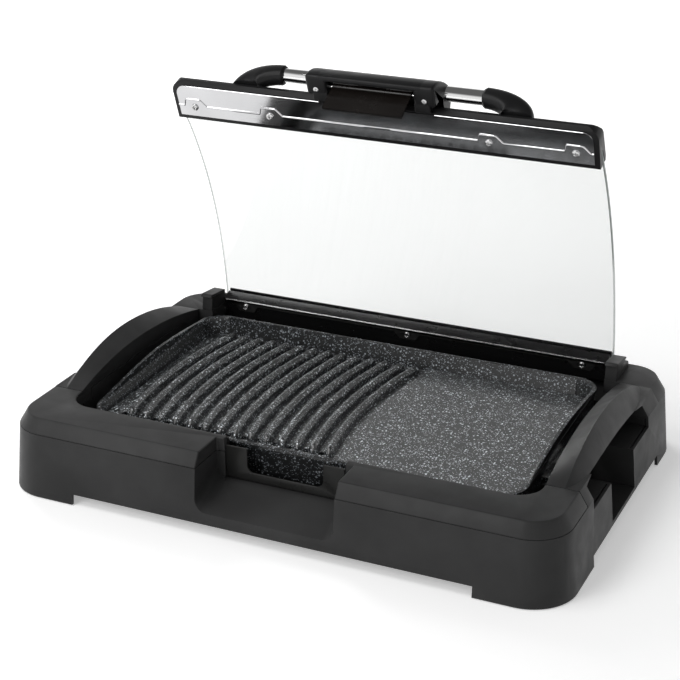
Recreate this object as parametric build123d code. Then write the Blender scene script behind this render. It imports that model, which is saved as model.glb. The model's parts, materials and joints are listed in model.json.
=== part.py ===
from build123d import *
import math
import os

# Countertop electric grill with a hinged glass lid, in millimetres.
# X runs along the long side, Y from front to back, Z up, and the feet stand on Z = 0.
# The lid is drawn closed in its own frame and then tipped up to its open stop.

# Base housing
base_width = 572.0
base_depth = 384.0
base_corner = 44.0
wall = 3.0
parting_z = 65.0
rim_z = 79.0
lower_draft = 6.0
band_inset = 8.5
skirt_z = 1.0
foot_gap_top = 12.0
foot_gap_half_x = base_width / 2 - 82.0
foot_gap_front_y = 94.0 - base_depth / 2
foot_gap_back_y = base_depth / 2 - 74.0
fit = 0.3

# Outer edges of the base at the parting line and at the rim
half_x = base_width / 2
half_y = base_depth / 2
part_half_x = half_x - lower_draft
part_half_y = half_y - lower_draft
rim_half_x = part_half_x - band_inset
rim_half_y = part_half_y - band_inset

# Opening in the top, with the plate's place in it and the hinge's behind it
arch_width = 31.5
front_rim_depth = 41.0
opening_corner = 24.0
trough_back = 3.0
hinge_pad_depth = 41.0
hinge_pad_nose = 7.5
hinge_pad_width = 20.0
plate_side_gap = 17.0
plate_front_gap = 8.0
plate_rear_gap = 3.5
lid_side_gap = 0.5
opening_half_x = rim_half_x - arch_width
opening_front_y = front_rim_depth - rim_half_y
opening_back_y = rim_half_y - hinge_pad_depth
trough_y = rim_half_y - trough_back
hinge_pad_front_y = opening_back_y - hinge_pad_nose
plate_half_x = opening_half_x - plate_side_gap
plate_front_y = opening_front_y + plate_front_gap
plate_back_y = hinge_pad_front_y - plate_rear_gap
plate_width = 2 * plate_half_x
plate_depth = plate_back_y - plate_front_y
plate_mid_y = (plate_front_y + plate_back_y) / 2
glass_half_x = plate_half_x - lid_side_gap
hinge_pad_inner_x = glass_half_x + lid_side_gap

# Front finger recess
recess_half_x = 70.5
recess_floor_front = 24.0
recess_floor_back = 38.0
recess_back_gap = 7.0
recess_corner = 12.0
window_half_x = 62.0

# Arched side handles
arch_front_y = opening_front_y + opening_corner + 4.5
arch_crest_y = 0.0
arch_back_y = hinge_pad_front_y - 1.0
arch_crest_z = 106.0
arch_inner_z = 95.0
arch_ridge_x = rim_half_x - 13.5
hand_front_y = arch_front_y + 16.0
hand_back_y = arch_back_y - 38.0
sill_z = 55.0
hand_crest_z = 83.0
hand_edge_z = 76.6

# Socket slot for the plug-in thermostat
slot_front_y = -38.0
slot_back_y = 36.0
slot_floor_z = 16.0
port_wall = 3.0

# Sheet parts inside the base
cover_z = 9.0
cover_thickness = 3.0
cover_gap = 1.5
vent_rows = 5
vent_pitch = 30.0
vent_width = 6.0
vent_start_x = 60.0
vent_end_x = 150.0
liner = 2.5
rear_gap = 2.0
shield_thickness = 1.0
liner_rib_count = 7
liner_rib_depth = 2.0
liner_rib_width = 3.0

# Screw posts and feet
post_x = half_x - 40.0
post_y = half_y - 38.0
post_diameter = 16.0
side_post_x = 112.0
side_post_y = half_y - 30.0
side_post_diameter = 11.0
web = 2.5
foot_diameter = 14.0
screw_shank = 4.0
screw_head = 8.0
screw_head_height = 2.2
screw_length = 10.0
rim_screw_length = 24.0
rim_screw_seat = 15.0
tower_screw_length = 22.0

# Cooking plate
plate_corner = 26.0
plate_bottom_z = 40.0
plate_rim_z = 66.0
plate_floor = 5.0
plate_wall = 4.0
plate_wall_lean = 4.0
plate_flange = 2.0
plate_flange_height = 3.0
side_rise = 5.0
rib_pitch = 16.5
rib_width = 8.6
rib_height = 5.0
rib_bend_radius = 500.0
last_rib_x = 16.0
rib_count = 14
rib_margin = 9.0
griddle_rise = 2.0
griddle_gap = 6.0
drain_size = 6.0
lug_width = 22.0
lug_thickness = 7.0
lug_front_y = plate_mid_y - 48.5
lug_back_y = plate_mid_y + 93.5
lug_z = 52.0
lug_reach = 12.0

# Heating element and its terminals
element_diameter = 8.0
element_half_x = plate_half_x - 39.0
element_half_y = plate_depth / 2 - 35.0
element_bend = 30.0
terminal_spacing = 18.0
terminal_bend = 8.5
terminal_pin_diameter = 4.0
terminal_y = -1.0
shroud_wall = 1.6
shroud_half_y = 18.0
shroud_height = 24.0
shroud_depth = 13.0
sensor_diameter = 6.0
clamp_width = 12.0
clamp_thickness = 1.5

# Drip tray
tray_half_x = plate_half_x - 5.0
tray_front_y = opening_front_y + 6.5
tray_back_y = plate_back_y - 1.5
tray_height = 14.0
tray_sheet = 1.5
tray_corner = 18.0
panel_top_z = 72.0
panel_sheet = 2.0
finger_half_x = 39.0
finger_floor_z = 48.0
finger_corner = 7.0

# Hinge
pin_y = trough_y - 11.0
pin_z = rim_z - 9.0
pin_diameter = 6.0
running_fit = 0.05
pin_inner_x = glass_half_x - 26.5
pin_outer_x = glass_half_x + 5.7
slot_end_x = pin_outer_x + fit
tower_inner_x = glass_half_x + 2 * lid_side_gap
tower_outer_x = tower_inner_x + 12.0
tower_front_y = hinge_pad_front_y - 7.0
tower_top_z = rim_z + 19.0
tower_hook_top_z = rim_z + 6.0
cap_thickness = 3.0
cap_overhang = 1.0

# Lid, measured from the pin: reach along the lid, rise square to it
lid_lean = 19.5
closed_tilt = 2.8
lid_overlap = 4.0
lid_reach = pin_y - opening_front_y + lid_overlap
glass_thickness = 4.0
glass_start = 7.0
glass_end = lid_reach - 28.0
glass_edge_rise = 2.0
glass_sag = 19.0
rail_half_x = glass_half_x - 3.5
rail_back = 7.5
rail_front = 22.0
rail_low = -7.0
rail_high = 9.0
strip_thickness = 1.4
rail_screw_x = glass_half_x - 29.5
cap_start = lid_reach - 44.0
cap_low = -2.8
cap_high = 11.0
cap_half_x = glass_half_x
cap_end_round = 13.0
plate_start = lid_reach - 38.0
front_plate_end = lid_reach - 5.0
front_plate_half_x = cap_half_x - 8.5
relief_depth = 1.2
relief_width = 2.5
front_screw_inner_x = 115.0
front_screw_outer_x = front_plate_half_x - 14.0
front_screw_reach = lid_reach - 22.0

# Handle on the lid
bar_diameter = 15.0
bar_wall = 1.2
bar_reach = lid_reach + 3.0
bar_rise = 23.0
elbow_inner_x = 104.0
elbow_outer_x = 158.0
elbow_depth = 18.0
elbow_foot = 24.0
elbow_neck = 12.0
elbow_throat = 8.0
elbow_crown_radius = 70.0
elbow_under_radius = 60.0
elbow_skin = 2.0
bar_insert = 10.0
bar_fit = 0.1
block_half_x = 66.5
block_start = lid_reach - 22.0
block_end = lid_reach + 32.0
block_low = -8.0
block_high = 33.0
block_step = lid_reach + 6.0
block_window_half_x = 45.0
block_window_start = lid_reach - 2.5
block_window_end = lid_reach + 25.0
block_window_depth = 17.0
latch_half_x = 41.0
latch_sheet = 2.5
latch_reach = lid_reach + 13.0
latch_rise = 0.0
latch_drop = 30.0
latch_upper = 9.0
latch_pin_diameter = 3.0
latch_barrel = 7.0

# Derived places
plate_floor_z = plate_bottom_z + plate_floor
cover_top_z = cover_z + cover_thickness
tray_floor_z = cover_top_z + shield_thickness + fit
recess_back_y = opening_front_y - recess_back_gap
pin_radius = pin_diameter / 2
pin_seat = pin_radius + running_fit
open_angle = 90.0 - lid_lean
closing_turn = open_angle - closed_tilt


def block(x0, x1, y0, y1, z0, z1):
    """Box between two opposite corners."""
    size = (abs(x1 - x0), abs(y1 - y0), abs(z1 - z0))
    centre = ((x0 + x1) / 2, (y0 + y1) / 2, (z0 + z1) / 2)
    return Pos(*centre) * Box(*size)


def rod(start, end, radius):
    """Cylinder between two points."""
    a = Vector(*start)
    b = Vector(*end)
    run = b - a
    plane = Plane(origin=a, z_dir=run.normalized())
    return extrude(plane * Circle(radius), amount=run.length)


def mirror_x(shape):
    """The shape's twin on the other side of the middle."""
    return mirror(shape, about=Plane.YZ)


def outline(inset_x, inset_y, corner, z):
    """Rounded outline of the base at one height."""
    sketch = RectangleRounded(2 * (half_x - inset_x), 2 * (half_y - inset_y), corner)
    return Plane.XY.offset(z) * sketch


def lower_body(inset, low, high):
    """Tapered lower body of the base, drawn in from its skin by an inset."""
    def section(z):
        lean = lower_draft * z / parting_z
        return outline(inset + lean, inset + lean, base_corner - inset - lean, z)
    return loft([section(low), section(high)], ruled=True)


def upper_body(inset, low, high):
    """Tapered band between the parting line and the rim."""
    def section(z):
        lean = lower_draft + band_inset * (z - parting_z) / (rim_z - parting_z)
        return outline(inset + lean, inset + lean, base_corner - inset - lean, z)
    return loft([section(low), section(high)], ruled=True)


def profile_yz(points):
    """Closed outline in the Y-Z plane from straight lines."""
    return Plane.YZ * make_face(Polyline(*points, close=True))


def across(face, x0, x1):
    """Extrude a Y-Z outline from one X to another."""
    return extrude(Pos(x0, 0, 0) * face, amount=x1 - x0, dir=(1, 0, 0))


def screw(at, direction, length=screw_length):
    """Pan-head screw seated at a point, its shank pointing along the direction."""
    point = Vector(*at)
    way = Vector(*direction).normalized()
    head_end = point - way * screw_head_height
    tip = point + way * length
    head = rod(tuple(head_end), tuple(point), screw_head / 2)
    recess = rod(tuple(head_end), tuple(point - way * screw_head_height * 0.4), screw_shank * 0.35)
    return head + rod(tuple(point), tuple(tip), screw_shank / 2) - recess


def screw_hole(at, direction, length=screw_length):
    """Hole that takes one screw's shank."""
    point = Vector(*at)
    way = Vector(*direction).normalized()
    return rod(tuple(point - way), tuple(point + way * (length + 1)), screw_shank / 2 + 0.05)


# Base housing
def recess_body(low, high):
    """Solid around the finger recess, before the recess is cut."""
    margin = recess_half_x + wall
    return block(-margin, margin, -half_y, opening_front_y, low, high)


def recess_cut():
    """Finger recess: a scoop whose floor climbs towards the tray panel."""
    floor = [
        (-half_y - 5, recess_floor_front - 3),
        (-half_y + 12, recess_floor_front + 2),
        (recess_back_y - 6, recess_floor_back),
        (recess_back_y, recess_floor_back),
        (recess_back_y, rim_z + 5),
        (-half_y - 5, rim_z + 5),
    ]
    scoop = across(profile_yz(floor), -recess_half_x, recess_half_x)
    edges = scoop.edges().filter_by(lambda e: abs(abs(e.center().X) - recess_half_x) < 0.01)
    low = edges.filter_by(lambda e: e.center().Z < recess_floor_back + 0.5)
    scoop = fillet(low.filter_by(lambda e: e.center().Y < recess_back_y - 0.5), recess_corner)
    window = block(-window_half_x, window_half_x, recess_back_y - 1, opening_front_y + 1,
                   recess_floor_back, rim_z + 5)
    return scoop + window


def posts():
    """Screw posts that tie the housing, the cover and the rims together, webbed to the wall."""
    solids = []
    side_top = sill_z - liner - 2
    for sx in (-1, 1):
        for sy in (-1, 1):
            x = sx * post_x
            y = sy * post_y
            solids.append(rod((x, y, skirt_z), (x, y, parting_z), post_diameter / 2))
            solids.append(block(x, sx * half_x, y - web / 2, y + web / 2, cover_top_z, parting_z))
            x = sx * side_post_x
            y = sy * side_post_y
            solids.append(rod((x, y, cover_top_z), (x, y, side_top), side_post_diameter / 2))
            solids.append(block(x - web / 2, x + web / 2, y, sy * half_y, cover_top_z, side_top))
    skin = lower_body(0, skirt_z, parting_z)
    return [solid & skin for solid in solids]


def port_block(grow):
    """Outer shape of the thermostat port at the right side."""
    return block(opening_half_x + liner, half_x + 5, slot_front_y - port_wall - grow,
                 slot_back_y + port_wall + grow, slot_floor_z - port_wall - grow, sill_z)


def make_housing():
    """Lower moulded housing with corner skirts, hand openings and the recess."""
    shell = lower_body(0, skirt_z, parting_z) - lower_body(wall, skirt_z - 1, parting_z + 1)
    shell = shell + (recess_body(foot_gap_top, parting_z) & lower_body(0, skirt_z, parting_z))
    shell = shell - block(-foot_gap_half_x, foot_gap_half_x, -half_y - 5, half_y + 5, -1, foot_gap_top)
    shell = shell - block(-half_x - 5, half_x + 5, foot_gap_front_y, foot_gap_back_y, -1, foot_gap_top)
    for post in posts():
        shell = shell + post
    for side in (-1, 1):
        inner = side * (opening_half_x - 1)
        outer = side * (half_x + 5)
        shell = shell - block(inner, outer, hand_front_y, hand_back_y, sill_z, parting_z + 1)
    shell = shell - port_block(0)
    for hole in cover_screw_places():
        shell = shell - screw_hole(*hole)
    for at, way in bezel_screw_places():
        x, y, seat = at
        shell = shell - rod((x, y, 0), (x, y, seat), screw_head / 2 + fit)
        shell = shell - screw_hole(at, way, rim_screw_length)
    return shell - recess_cut()


def cover_screw_places():
    """Screws that hold the bottom cover, heads below."""
    return [((sx * side_post_x, sy * side_post_y, cover_z), (0, 0, 1)) for sx in (-1, 1) for sy in (-1, 1)]


def bezel_screw_places():
    """Screws that pull the rims down onto the housing, seated inside the hollow corner posts."""
    seat = parting_z - rim_screw_seat
    return [((sx * post_x, sy * post_y, seat), (0, 0, 1)) for sx in (-1, 1) for sy in (-1, 1)]


def deck_opening():
    """Opening in the deck, its front corners rounded."""
    hole = block(-opening_half_x, opening_half_x, opening_front_y, opening_back_y, parting_z - 1, rim_z + 1)
    corners = hole.edges().filter_by(Axis.Z).filter_by(lambda e: e.center().Y < 0)
    return fillet(corners, opening_corner)


def rim_ring():
    """Band and deck all round, before it is divided into its separate mouldings."""
    ring = upper_body(0, parting_z, rim_z) - upper_body(wall, parting_z - 1, rim_z - wall)
    ring = ring - deck_opening()
    ring = ring - block(-hinge_pad_inner_x, hinge_pad_inner_x, opening_back_y - 1, trough_y,
                        parting_z - 1, rim_z + 1)
    return ring


def rim_bosses(sy):
    """Bosses under the deck that meet the corner posts."""
    solids = []
    for sx in (-1, 1):
        solids.append(rod((sx * post_x, sy * post_y, parting_z), (sx * post_x, sy * post_y, rim_z - wall),
                          post_diameter / 2))
    return solids


def make_front_bezel(side):
    """Front rim on one side of the finger recess."""
    ring = rim_ring() & block(0, half_x, -half_y, arch_front_y, 0, rim_z + 1)
    ring = ring + (recess_body(parting_z, rim_z) & upper_body(0, parting_z, rim_z))
    ring = ring + rim_bosses(-1)[1]
    for at, way in bezel_screw_places():
        ring = ring - screw_hole(at, way, rim_screw_length)
    ring = (ring - recess_cut()) & block(window_half_x - 1, half_x, -half_y, arch_front_y, 0, rim_z + 1)
    return ring if side > 0 else mirror_x(ring)


def hinge_slot(side, low, high):
    """Upright slot that a hinge pin drops into, round at its foot."""
    inner = side * (hinge_pad_inner_x - 3)
    outer = side * slot_end_x
    well = block(inner, outer, pin_y - pin_seat, pin_y + pin_seat, pin_z, high)
    foot = rod((inner, pin_y, pin_z), (outer, pin_y, pin_z), pin_seat)
    return (well + foot) & block(-half_x, half_x, -half_y, half_y, low, high)


def make_rear_bezel():
    """Rear rim with the two pads that carry the hinge towers."""
    ring = rim_ring() & block(-half_x, half_x, arch_back_y, half_y, 0, rim_z + 1)
    for side in (-1, 1):
        ring = ring + block(side * hinge_pad_inner_x, side * (hinge_pad_inner_x + hinge_pad_width),
                            hinge_pad_front_y, trough_y, parting_z, rim_z)
    for boss in rim_bosses(1):
        ring = ring + boss
    for side in (-1, 1):
        ring = ring - hinge_slot(side, parting_z, rim_z + 1)
        for at, way in tower_screw_places(side):
            ring = ring - screw_hole(at, way, tower_screw_length)
    for at, way in bezel_screw_places():
        ring = ring - screw_hole(at, way, rim_screw_length)
    return ring


# Arched side handles
def crest_arc(start, crest, end):
    """Two arcs that meet level at the crest."""
    def arc(p, turn):
        run = abs(crest[0] - p[0])
        drop = crest[1] - p[1]
        radius = (run * run + drop * drop) / (2 * drop)
        angle = math.asin(run / radius) / 2
        mid_y = crest[0] + turn * radius * math.sin(angle)
        mid_z = crest[1] - radius * (1 - math.cos(angle))
        return (mid_y, mid_z)
    front = ThreePointArc(start, arc(start, -1), crest)
    back = ThreePointArc(crest, arc(end, 1), end)
    return front, back


def arch_section(x, end_z, crest_z):
    """Upright section of an arch at one X, flat below and rising to the crest."""
    front, back = crest_arc((arch_front_y, end_z), (arch_crest_y, crest_z), (arch_back_y, end_z))
    low = parting_z - 4
    down = Polyline((arch_back_y, end_z), (arch_back_y, low), (arch_front_y, low), (arch_front_y, end_z))
    return Pos(x, 0, 0) * (Plane.YZ * make_face([front, back, down]))


def hand_cut():
    """Space under an arch, with a web left along its inner face down to the liner."""
    hand_mid = (hand_front_y + hand_back_y) / 2
    top = ThreePointArc((hand_front_y, hand_edge_z), (hand_mid, hand_crest_z), (hand_back_y, hand_edge_z))
    rest = Polyline((hand_back_y, hand_edge_z), (hand_back_y, parting_z - 1), (hand_front_y, parting_z - 1),
                    (hand_front_y, hand_edge_z))
    web_x = opening_half_x + liner + 1
    under = across(Plane.YZ * make_face([top, rest]), web_x, half_x)
    return under + block(opening_half_x - 1, web_x + 1, hand_front_y, hand_back_y, parting_z - 1,
                         rim_z - wall + fit)


def make_arch(side):
    """Bridge-shaped handle moulding: its top leans inwards and its outer face slopes out to the band."""
    inner = arch_section(opening_half_x + fit, rim_z, arch_inner_z)
    ridge = arch_section(arch_ridge_x, rim_z, arch_crest_z)
    skirt = arch_section(part_half_x, parting_z, parting_z + 0.5)
    body = loft([inner, ridge], ruled=True) + loft([ridge, skirt], ruled=True)
    body = body + (upper_body(0, parting_z, rim_z)
                   & block(opening_half_x + fit, half_x, arch_front_y, arch_back_y, parting_z, rim_z))
    body = body & block(opening_half_x, half_x, arch_front_y, arch_back_y, parting_z, arch_crest_z + 1)
    body = body - hand_cut()
    for at, way in arch_screw_places(1):
        body = body - screw_hole(at, way)
    return body if side > 0 else mirror_x(body)


def arch_screw_places(side):
    """Screws that come up through the housing's ledges into a handle's two ends."""
    x = side * (opening_half_x + rim_half_x) / 2
    low = parting_z - liner
    ends = ((arch_front_y + hand_front_y) / 2, (arch_back_y + hand_back_y) / 2)
    return [((x, y, low), (0, 0, 1)) for y in ends]


# Liners, cover and shield
def make_side_liner(side):
    """Wall between the plate well and the hand pocket, with its sill and stiffening ribs."""
    x0 = opening_half_x
    x1 = opening_half_x + liner
    top = rim_z - wall
    body = block(x0, x1, arch_front_y - fit, arch_back_y - 4, cover_top_z, parting_z - liner)
    body = body + block(x0, x1, opening_front_y + liner + 2 * fit, arch_front_y - fit, cover_top_z, top)
    body = body + block(x0, x1, hand_front_y + fit, hand_back_y - fit, parting_z - liner, top)
    sill_end = part_half_x - wall - 0.5
    body = body + block(x0, sill_end, hand_front_y - 2, hand_back_y + 2, sill_z - liner, sill_z)
    ledge_ends = ((arch_front_y + 1, hand_front_y - fit), (hand_back_y + fit, arch_back_y - 4))
    for y0, y1 in ledge_ends:
        body = body + block(x0, sill_end, y0, y1, parting_z - liner, parting_z)
    for y in (hand_front_y - 2, hand_back_y):
        body = body + block(x0, sill_end, y, y + 2, sill_z - liner, parting_z - liner)
    run = hand_back_y - hand_front_y
    for i in range(liner_rib_count):
        y = hand_front_y + run * (i + 0.5) / liner_rib_count
        body = body + block(x1, x1 + liner_rib_depth, y - liner_rib_width / 2, y + liner_rib_width / 2,
                            sill_z, top)
    if side > 0:
        body = body - block(x0 - 1, half_x, slot_front_y - port_wall, slot_back_y + port_wall,
                            slot_floor_z - port_wall, sill_z + 0.01)
    for at, way in arch_screw_places(1):
        body = body - screw_hole(at, way)
    return body if side > 0 else mirror_x(body)


def make_front_liner():
    """Front wall of the plate well, with the window for the tray's panel."""
    wall_y = opening_front_y
    body = block(-opening_half_x, opening_half_x, wall_y + fit, wall_y + fit + liner, cover_top_z, rim_z - wall)
    return body - block(-window_half_x, window_half_x, wall_y - 1, wall_y + liner + 1,
                        recess_floor_back, rim_z + 1)


def make_rear_liner():
    """Rear wall of the plate well and the trough below the hinge rail."""
    front = plate_back_y + rear_gap
    back = trough_y - fit
    upright = block(-opening_half_x, opening_half_x, front, front + liner, cover_top_z, sill_z)
    floor = block(-hinge_pad_inner_x, hinge_pad_inner_x, front, back, sill_z - liner, sill_z)
    return upright + floor


def make_bottom_cover():
    """Flat cover that closes the housing from below."""
    lean = lower_draft * cover_z / parting_z
    inset = wall + lean + cover_gap
    sketch = outline(inset, inset, base_corner - inset, cover_z)
    cover = extrude(sketch, amount=cover_thickness)
    for sx in (-1, 1):
        for sy in (-1, 1):
            cover = cover - rod((sx * post_x, sy * post_y, 0), (sx * post_x, sy * post_y, cover_top_z + 1),
                                post_diameter / 2 + fit)
    for row in range(vent_rows):
        y = (row - (vent_rows - 1) / 2) * vent_pitch
        for sx in (-1, 1):
            cover = cover - block(sx * vent_start_x, sx * vent_end_x, y, y + vent_width, cover_z - 1,
                                  cover_top_z + 1)
    for hole in cover_screw_places():
        cover = cover - screw_hole(*hole)
    return cover


def make_heat_shield():
    """Bright reflector sheet under the drip tray."""
    return block(-tray_half_x - 2, tray_half_x + 2, tray_front_y, tray_back_y, cover_top_z,
                 cover_top_z + shield_thickness)


def make_feet():
    """Four rubber foot pads under the corner posts."""
    pads = []
    for sx in (-1, 1):
        for sy in (-1, 1):
            pad = rod((sx * post_x, sy * post_y, 0), (sx * post_x, sy * post_y, skirt_z), foot_diameter / 2)
            pads.append(pad)
    return Compound(children=pads)


def make_probe_port():
    """Channel in the right side that takes the plug-in thermostat."""
    hollow = block(opening_half_x, half_x + 6, slot_front_y, slot_back_y, slot_floor_z, sill_z + 1)
    frame = port_block(-0.05) - hollow
    return frame & lower_body(0, skirt_z, parting_z)


def make_rests():
    """Four brackets that carry the plate's lugs."""
    parts = []
    for sx in (-1, 1):
        for y in (lug_front_y, lug_back_y):
            x0 = sx * (tray_half_x + 4)
            x1 = sx * (opening_half_x - 1)
            leg = block(x0, x1, y - lug_width / 2, y + lug_width / 2, cover_top_z, lug_z)
            slot_in = block(sx * (tray_half_x + 7), sx * (opening_half_x - 4), y - lug_width / 2 - 1,
                            y + lug_width / 2 + 1, cover_top_z + 3, lug_z - 5)
            parts.append(leg - slot_in)
    return Compound(children=parts)


# Hinge towers
def tower_outline():
    """Fin-shaped side view of a hinge tower."""
    back = trough_y - 1
    return [
        (tower_front_y + 7, rim_z),
        (tower_front_y + 7, rim_z + 3),
        (tower_front_y + 9, tower_top_z - cap_thickness),
        (pin_y - pin_seat, tower_top_z - cap_thickness - 3),
        (pin_y - pin_seat, tower_hook_top_z),
        (pin_y + pin_seat, tower_hook_top_z),
        (back - 2, tower_hook_top_z),
        (back, tower_hook_top_z - 3),
        (back, rim_z),
    ]


def make_tower(side):
    """Hinge tower: a fin before the pin, a hook behind it and an outer cheek."""
    body = across(profile_yz(tower_outline()), tower_inner_x, tower_outer_x)
    body = body - hinge_slot(1, rim_z - 1, tower_top_z + 1)
    for at, way in tower_screw_places(1):
        body = body - screw_hole(at, way, tower_screw_length)
    return body if side > 0 else mirror_x(body)


def make_tower_cap(side):
    """Sloped roof of a hinge tower, a little wider than the fin."""
    low = tower_top_z - cap_thickness
    points = [
        (tower_front_y + 5, low),
        (tower_front_y + 9, low),
        (pin_y - pin_seat, low - 3),
        (pin_y - pin_seat, low - 1),
        (pin_y - pin_seat - 3, tower_top_z - 3),
        (tower_front_y + 8, tower_top_z),
    ]
    cap = across(profile_yz(points), tower_inner_x - cap_overhang / 2, tower_outer_x + cap_overhang)
    return cap if side > 0 else mirror_x(cap)


def tower_screw_places(side):
    """Screw that comes up through the hinge pad into the tower."""
    x = side * (tower_inner_x + tower_outer_x) / 2
    return [((x, tower_front_y + 17, parting_z), (0, 0, 1))]


# Cooking plate
def plate_outline(inset, z):
    """Rounded outline of the plate, drawn in by an inset, at one height."""
    sketch = RectangleRounded(plate_width - 2 * inset, plate_depth - 2 * inset, plate_corner - inset)
    return Pos(0, plate_mid_y, z) * sketch


def rib(mid_x):
    """One rounded rib, bent along a circle that bulges to the left half way back."""
    centre_x = mid_x + rib_bend_radius
    low = plate_floor_z - 0.5
    half = rib_width / 2
    round_z = plate_floor_z + rib_height - half * 0.7
    top = ThreePointArc((-half, round_z), (0, plate_floor_z + rib_height), (half, round_z))
    rest = Polyline((half, round_z), (half, low), (-half, low), (-half, round_z))
    face = Plane(origin=(mid_x, plate_mid_y, 0), x_dir=(1, 0, 0), z_dir=(0, -1, 0))
    profile = face * make_face([top, rest])
    turn = math.degrees(math.asin(plate_depth / 2 / rib_bend_radius)) + 2
    forward = revolve(profile, Axis((centre_x, plate_mid_y, 0), (0, 0, 1)), turn)
    return forward + revolve(profile, Axis((centre_x, plate_mid_y, 0), (0, 0, -1)), turn)


def rib_room():
    """Space on the plate's floor that the ribs may take."""
    inset = plate_wall + plate_wall_lean + 1
    sketch = plate_outline(inset + 2, plate_floor_z - 1)
    room = extrude(sketch, amount=rib_height + 3)
    return room & block(-plate_half_x, plate_half_x, plate_front_y + plate_wall + rib_margin + drain_size,
                        plate_back_y, plate_floor_z - 1, plate_rim_z)


def rib_mids():
    """X of every rib half way back, from the griddle's edge to the left wall."""
    return [last_rib_x - i * rib_pitch for i in range(rib_count)]


def drain_places():
    """Corners of the drain holes, one at the front of every groove."""
    y = plate_front_y + plate_wall + plate_wall_lean + 2
    run = plate_mid_y - y
    bow = rib_bend_radius - math.sqrt(rib_bend_radius * rib_bend_radius - run * run)
    return [(mid_x + bow - rib_pitch / 2 - drain_size / 2, y) for mid_x in rib_mids()]


def make_plate():
    """Cast cooking plate: ribbed on the left, flat on the right, carried on four lugs."""
    outer = extrude(plate_outline(plate_flange, plate_bottom_z), amount=plate_rim_z - plate_bottom_z)
    flange = extrude(plate_outline(0, plate_rim_z - plate_flange_height), amount=plate_flange_height)
    well = loft([plate_outline(plate_flange + plate_wall + plate_wall_lean, plate_floor_z),
                 plate_outline(plate_wall, plate_rim_z + 0.01)], ruled=True)
    body = outer + flange - well
    for side in (-1, 1):
        body = body + side_crown(side)
    room = rib_room()
    for mid_x in rib_mids():
        body = body + (rib(mid_x) & room)
    griddle = extrude(plate_outline(plate_flange + plate_wall + plate_wall_lean - 1, plate_floor_z - 1),
                      amount=1 + griddle_rise)
    disc = rod((last_rib_x + rib_bend_radius, plate_mid_y, plate_floor_z - 2),
               (last_rib_x + rib_bend_radius, plate_mid_y, plate_floor_z + griddle_rise + 1),
               rib_bend_radius - rib_width / 2 - griddle_gap)
    body = body + (griddle & disc)
    for x, y in drain_places():
        body = body - block(x, x + drain_size, y, y + drain_size, plate_bottom_z - 1, plate_floor_z + 1)
    for sx in (-1, 1):
        for y in (lug_front_y, lug_back_y):
            x0 = sx * (plate_half_x - plate_flange - 1)
            x1 = sx * (plate_half_x - plate_flange + lug_reach)
            body = body + block(x0, x1, y - lug_width / 2 + 2, y + lug_width / 2 - 2, lug_z,
                                lug_z + lug_thickness)
    for at, way in clamp_screw_places():
        body = body - screw_hole(at, way, length=plate_floor - 2)
    return body


def side_crown(side):
    """Arched rise of a side wall of the plate."""
    half = plate_depth / 2 - plate_corner
    front = plate_mid_y - half
    back = plate_mid_y + half
    arc = ThreePointArc((front, plate_rim_z), (plate_mid_y, plate_rim_z + side_rise), (back, plate_rim_z))
    rest = Polyline((back, plate_rim_z), (back, plate_rim_z - 2), (front, plate_rim_z - 2),
                    (front, plate_rim_z))
    body = across(Plane.YZ * make_face([arc, rest]), plate_half_x - plate_wall + 0.4, plate_half_x - 0.4)
    return body if side > 0 else mirror_x(body)


# Heating element
element_z = plate_bottom_z - element_diameter / 2 - 0.1


def element_path():
    """Loop of the heating tube under the plate, both ends at the right."""
    out_x = plate_half_x - plate_flange
    y0 = terminal_y - terminal_spacing / 2
    y1 = terminal_y + terminal_spacing / 2
    neck = element_half_x
    points = [
        (out_x, y0, element_z), (neck, y0, element_z), (neck, -element_half_y, element_z),
        (-element_half_x, -element_half_y, element_z), (-element_half_x, element_half_y, element_z),
        (neck, element_half_y, element_z), (neck, y1, element_z), (out_x, y1, element_z),
    ]
    radii = [terminal_bend, element_bend, element_bend, element_bend, element_bend, terminal_bend]
    return FilletPolyline(*points, radius=radii)


def make_element():
    """Tubular heating element."""
    path = element_path()
    start = Plane(origin=path @ 0, z_dir=path % 0)
    return sweep(start * Circle(element_diameter / 2), path=path)


def make_terminal_pins():
    """Two plug pins on the ends of the heating tube."""
    x0 = plate_half_x - plate_flange + shroud_wall + fit
    pins = []
    for s in (-1, 1):
        y = terminal_y + s * terminal_spacing / 2
        x_start = plate_half_x - plate_flange
        pins.append(rod((x_start, y, element_z), (x0 + shroud_depth - 3, y, element_z),
                        terminal_pin_diameter / 2))
    return Compound(children=pins)


def make_shroud():
    """Guard round the plug pins, open towards the port."""
    x0 = plate_half_x - plate_flange
    x1 = x0 + shroud_depth
    low = element_z - element_diameter / 2 - 1
    high = low + shroud_height
    y0 = terminal_y - shroud_half_y
    y1 = terminal_y + shroud_half_y
    body = block(x0, x1, y0, y1, low, high)
    body = body - block(x0 + shroud_wall, x1 + 1, y0 + shroud_wall, y1 - shroud_wall, low + shroud_wall,
                        high - shroud_wall)
    for s in (-1, 1):
        y = terminal_y + s * terminal_spacing / 2
        body = body - rod((x0 - 1, y, element_z), (x0 + shroud_wall + 1, y, element_z),
                          terminal_pin_diameter / 2 + 0.05)
    sensor_y = terminal_y
    return body - rod((x0 - 1, sensor_y, sensor_z()), (x1, sensor_y, sensor_z()), sensor_diameter / 2 + 0.05)


def sensor_z():
    """Height of the thermostat's sensor tube."""
    return element_z + 9


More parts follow.
